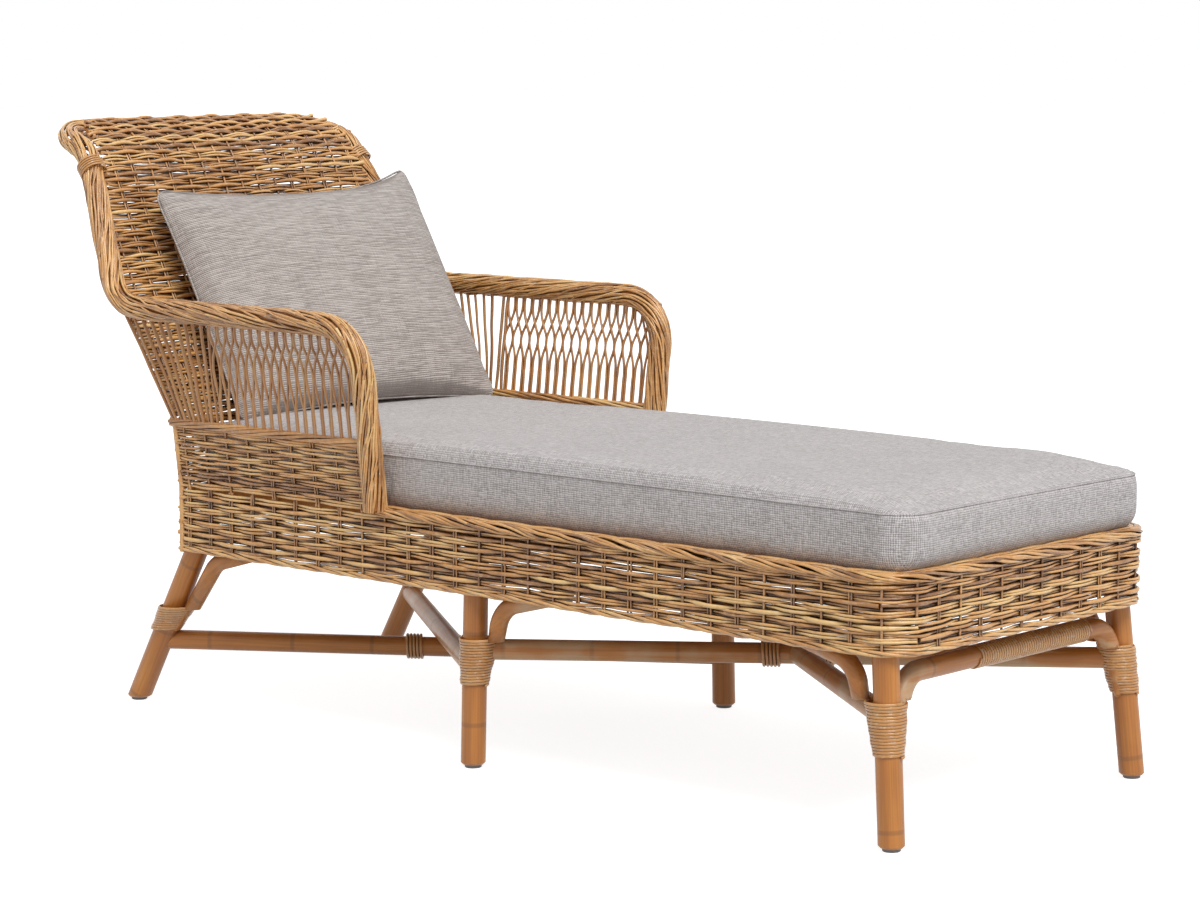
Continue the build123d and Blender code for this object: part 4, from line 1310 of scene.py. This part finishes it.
def even_cover(node, voxel, eased):
    """Copy of a soft block, remeshed into even faces with eased edges."""
    name = node.name + "_cover"
    holder = add_object(name, mesh_of(name, merged_copy(node.data)))
    remesh = holder.modifiers.new("even", "REMESH")
    remesh.mode = "VOXEL"
    remesh.voxel_size = voxel
    holder.data = evaluated_mesh(holder)
    holder.modifiers.clear()
    shape = bmesh.new()
    shape.from_mesh(holder.data)
    for turn in range(eased):
        bmesh.ops.smooth_vert(shape, verts=shape.verts, factor=0.5,
                              use_axis_x=True, use_axis_y=True, use_axis_z=True)
    shape.to_mesh(holder.data)
    shape.free()
    return holder


def fill(cover, most):
    """Blow a cover up by cloth pressure, with a cap on how far a point may move."""
    start = points_of(cover.data)
    cloth = cover.modifiers.new("cloth", "CLOTH")
    cloth.settings.use_pressure = True
    cloth.settings.uniform_pressure_force = CLOTH_PRESSURE
    cloth.settings.tension_stiffness = 15.0
    cloth.settings.bending_stiffness = 0.8
    cloth.settings.effector_weights.gravity = 0.0
    for number in range(1, CLOTH_FRAMES + 1):
        scene.frame_set(number)
    filled = evaluated_mesh(cover)
    cover.modifiers.clear()
    scene.frame_set(1)
    move = points_of(filled) - start
    bpy.data.meshes.remove(filled)
    normals = points_of(cover.data, "normal")
    move -= np.minimum(0.0, (move * normals).sum(1, keepdims=True)) * normals
    reach = np.linalg.norm(move, axis=1, keepdims=True)
    move *= np.minimum(1.0, most / np.maximum(reach, 1e-9))
    move_points(cover.data, start + move)
    print(f"{cover.name}: mean move {reach.mean() * 1000:.1f} mm")


def keep_within(cover, low, high):
    """Hold a cover inside the box of the block that it stands for."""
    move_points(cover.data, np.clip(points_of(cover.data), np.array(low), np.array(high)))


print("cover helpers ready")

# %% Seat cover
SEAM_RISE = 0.084
FALL_REACH = 0.17
FALL_LEAST = 0.25
SOFT_EDGE = 0.030
EDGE_BAND = 0.05
UNDERCUT = (0.014, 0.005)


def settle(cover, low, high):
    """Let the top fall towards the foot end and round the lower edge."""
    points = points_of(cover.data)
    crown = np.maximum(0.0, points[:, 2] - low.z - SEAM_RISE)
    near_end = np.clip(1.0 - (high.x - points[:, 0]) / FALL_REACH, 0.0, 1.0) ** 2
    points[:, 2] -= crown * near_end * (1.0 - FALL_LEAST)
    depth = np.clip(1.0 - (points[:, 2] - low.z) / SOFT_EDGE, 0.0, 1.0) ** 2
    middle = (np.array(low) + np.array(high)) / 2
    half = (np.array(high) - np.array(low)) / 2
    for axis in (0, 1):
        out = (points[:, axis] - middle[axis]) / half[axis]
        inset = half[axis] - np.abs(out) * half[axis]
        edge = np.sign(out) * np.clip(1.0 - inset / EDGE_BAND, 0.0, 1.0)
        points[:, axis] -= edge * depth * UNDERCUT[axis]
    move_points(cover.data, points)


SEAT_SWELL = Vector((0.012, 0.0025, 0.0))
seat_low, seat_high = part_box("seat_cushion")
seat_cover = even_cover(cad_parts["seat_cushion"], voxel=0.010, eased=3)
fill(seat_cover, most=0.014)
keep_within(seat_cover, seat_low - SEAT_SWELL * Vector((0.0, 1.0, 1.0)), seat_high + SEAT_SWELL)
settle(seat_cover, seat_low, seat_high)
print("seat cover:", len(seat_cover.data.vertices), "points")

# %% [markdown]
# ## The pillow's cover
# A pillow is two flat pieces of cloth sewn at the rim. Two grids make them: each point is moved out by
# a thickness that falls to nothing at the rim, the sides are drawn in between the corners, and the
# two rims are merged. The size and the lean are measured on the model's own pillow.

# %% Pillow cover
pillow_points = points_of(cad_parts["pillow"].data)
pillow_mid = (pillow_points.min(0) + pillow_points.max(0)) / 2
pillow_axes = np.linalg.eigh(np.cov((pillow_points - pillow_mid).T))[1].T
pillow_front = Vector(pillow_axes[0]) * math.copysign(1.0, pillow_axes[0][0])
pillow_up = Vector(pillow_axes[1]) * math.copysign(1.0, pillow_axes[1][2])
pillow_left = pillow_up.cross(pillow_front)
half_sizes = []
for axis in (pillow_left, pillow_up, pillow_front):
    half_sizes.append(np.abs((pillow_points - pillow_mid) @ np.array(axis)).max())
SIDE_DRAW_IN = 0.008
TOP_DRAW_IN = 0.020
EAR_LIFT = 0.024
CORNER_BLUNT = 0.03
SHEET_SQUARES = (64, 54)
pillow_turn = Matrix((pillow_front, pillow_left, pillow_up)).to_euler()
pillow_linen = linen_finish("pillow_linen", PILLOW_GREYS, PILLOW_SLUB, pillow_turn)


def swelling(inset, face):
    """Share of the thickness at a distance from the rim, steeper in front."""
    if face < 0:
        return math.sqrt(1.0 - (1.0 - inset) ** 2)
    return (1.0 - (1.0 - inset) ** 2.6) ** 0.46


def pillow_sheet(shape, face):
    """One side of the pillow: face is 1 in front and -1 behind."""
    columns, rows = SHEET_SQUARES
    made = bmesh.ops.create_grid(shape, x_segments=columns, y_segments=rows, size=1.0)["verts"]
    half_width, half_height, half_thickness = half_sizes
    for vert in made:
        across, rise = vert.co.x, vert.co.y
        inset_side = min(1.0, (1.0 - abs(across)) * half_width / half_height)
        inset_top = 1.0 - abs(rise)
        plump = swelling(inset_side, face) * swelling(inset_top, face)
        blunt = 1.0 - CORNER_BLUNT * abs(across * rise) ** 16
        x = across * blunt * (half_width - SIDE_DRAW_IN * (1.0 - rise * rise))
        y = rise * blunt * (half_height - TOP_DRAW_IN * (1.0 - across * across))
        y += EAR_LIFT * max(0.0, across) ** 4 * max(0.0, rise) ** 2
        vert.co = Vector(pillow_mid) + pillow_left * x + pillow_up * y
        vert.co += pillow_front * (face * half_thickness * plump)


pillow_shape = bmesh.new()
pillow_sheet(pillow_shape, 1.0)
pillow_sheet(pillow_shape, -1.0)
bmesh.ops.remove_doubles(pillow_shape, verts=pillow_shape.verts, dist=MERGE_WITHIN)
bmesh.ops.recalc_face_normals(pillow_shape, faces=pillow_shape.faces)
pillow_cover = add_object("pillow_cover", mesh_of("pillow_cover", pillow_shape))
fill(pillow_cover, most=0.006)
print("pillow half sizes:", [round(float(size), 3) for size in half_sizes])

# %% [markdown]
# ## Seams
# A boxed cushion is sewn along the edges of its top and bottom, a pillow along its rim. The cushion's
# lower seam lies out of sight, so only the upper one is made. The line of a seam is where a plane
# cuts the filled cover, so the cover itself tells where to sew: the cut gives one closed ring, and a
# thin cord is laid on it. Beside the cushion's cord the cloth is drawn in a little.

# %% Sewing


def cut_ring(mesh, place, normal):
    """Ordered points of the ring in which a plane cuts a closed mesh."""
    shape = bmesh.new()
    shape.from_mesh(mesh)
    everything = shape.verts[:] + shape.edges[:] + shape.faces[:]
    cut = bmesh.ops.bisect_plane(shape, geom=everything, plane_co=place, plane_no=normal, dist=1e-7)
    edges = [item for item in cut["geom_cut"] if isinstance(item, bmesh.types.BMEdge)]
    vert = edges[0].verts[0]
    ring = [vert.co.copy()]
    unused = set(edges)
    while unused:
        ahead = [edge for edge in vert.link_edges if edge in unused]
        if not ahead:
            break
        unused.discard(ahead[0])
        vert = ahead[0].other_vert(vert)
        ring.append(vert.co.copy())
    shape.free()
    return ring


def draw_in(mesh, height, depth, reach):
    """Pull the cloth inwards beside a level seam."""
    points = points_of(mesh)
    pull = depth * np.exp(-((points[:, 2] - height) / reach) ** 2)
    move_points(mesh, points - points_of(mesh, "normal") * pull[:, None])


def smooth_cover(cover):
    """Round the remeshed squares with one subdivision."""
    step = cover.modifiers.new("smooth", "SUBSURF")
    step.levels = 1
    step.render_levels = 1
    for polygon in cover.data.polygons:
        polygon.use_smooth = True


def seam_cord(ring, radius, gap):
    """Thin cord along a closed ring, as one cane that ends where it starts."""
    spaced_ring = [ring[0]]
    for point in ring:
        if (point - spaced_ring[-1]).length > gap:
            spaced_ring.append(point)
    spaced_ring.append(spaced_ring[0])
    return (spaced_ring, [radius] * len(spaced_ring), SHADES // 2)


print("sewing helpers ready")

# %% Covers and cords
seat_mid = (seat_low + seat_high) / 2
seat_seam = Vector((seat_mid.x, 0.0, seat_low.z + SEAM_RISE))
draw_in(seat_cover.data, seat_seam.z, depth=0.0022, reach=0.006)
seat_ring = cut_ring(seat_cover.data, seat_seam, UP)
pillow_ring = cut_ring(pillow_cover.data, Vector(pillow_mid), pillow_front)
seat_cord = seam_cord(seat_ring, radius=0.0016, gap=0.008)
pillow_cord = seam_cord(pillow_ring, radius=0.0018, gap=0.007)
for cover, body, slot, node, linen, filling in (
        (seat_cover, "seat_cushion_body", "seat_fabric", "seat_cushion", seat_linen, 0.8),
        (pillow_cover, "pillow_body", "pillow_fabric", "pillow", pillow_linen, 0.7)):
    smooth_cover(cover)
    cover.data.materials.clear()
    cover.data.materials.append(linen)
    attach(cover, body)
    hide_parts(node)
    print(cover.name, len(cover.data.polygons), "faces")
seat_cord_mesh = cane_mesh("seat_seams", [seat_cord], 0, 2)
dress("seat_seams", seat_cord_mesh, seat_linen, "seat_cushion_body", "seat_fabric")
pillow_cord_mesh = cane_mesh("pillow_seam", [pillow_cord], 0, 2)
dress("pillow_seam", pillow_cord_mesh, pillow_linen, "pillow_body", "pillow_fabric")
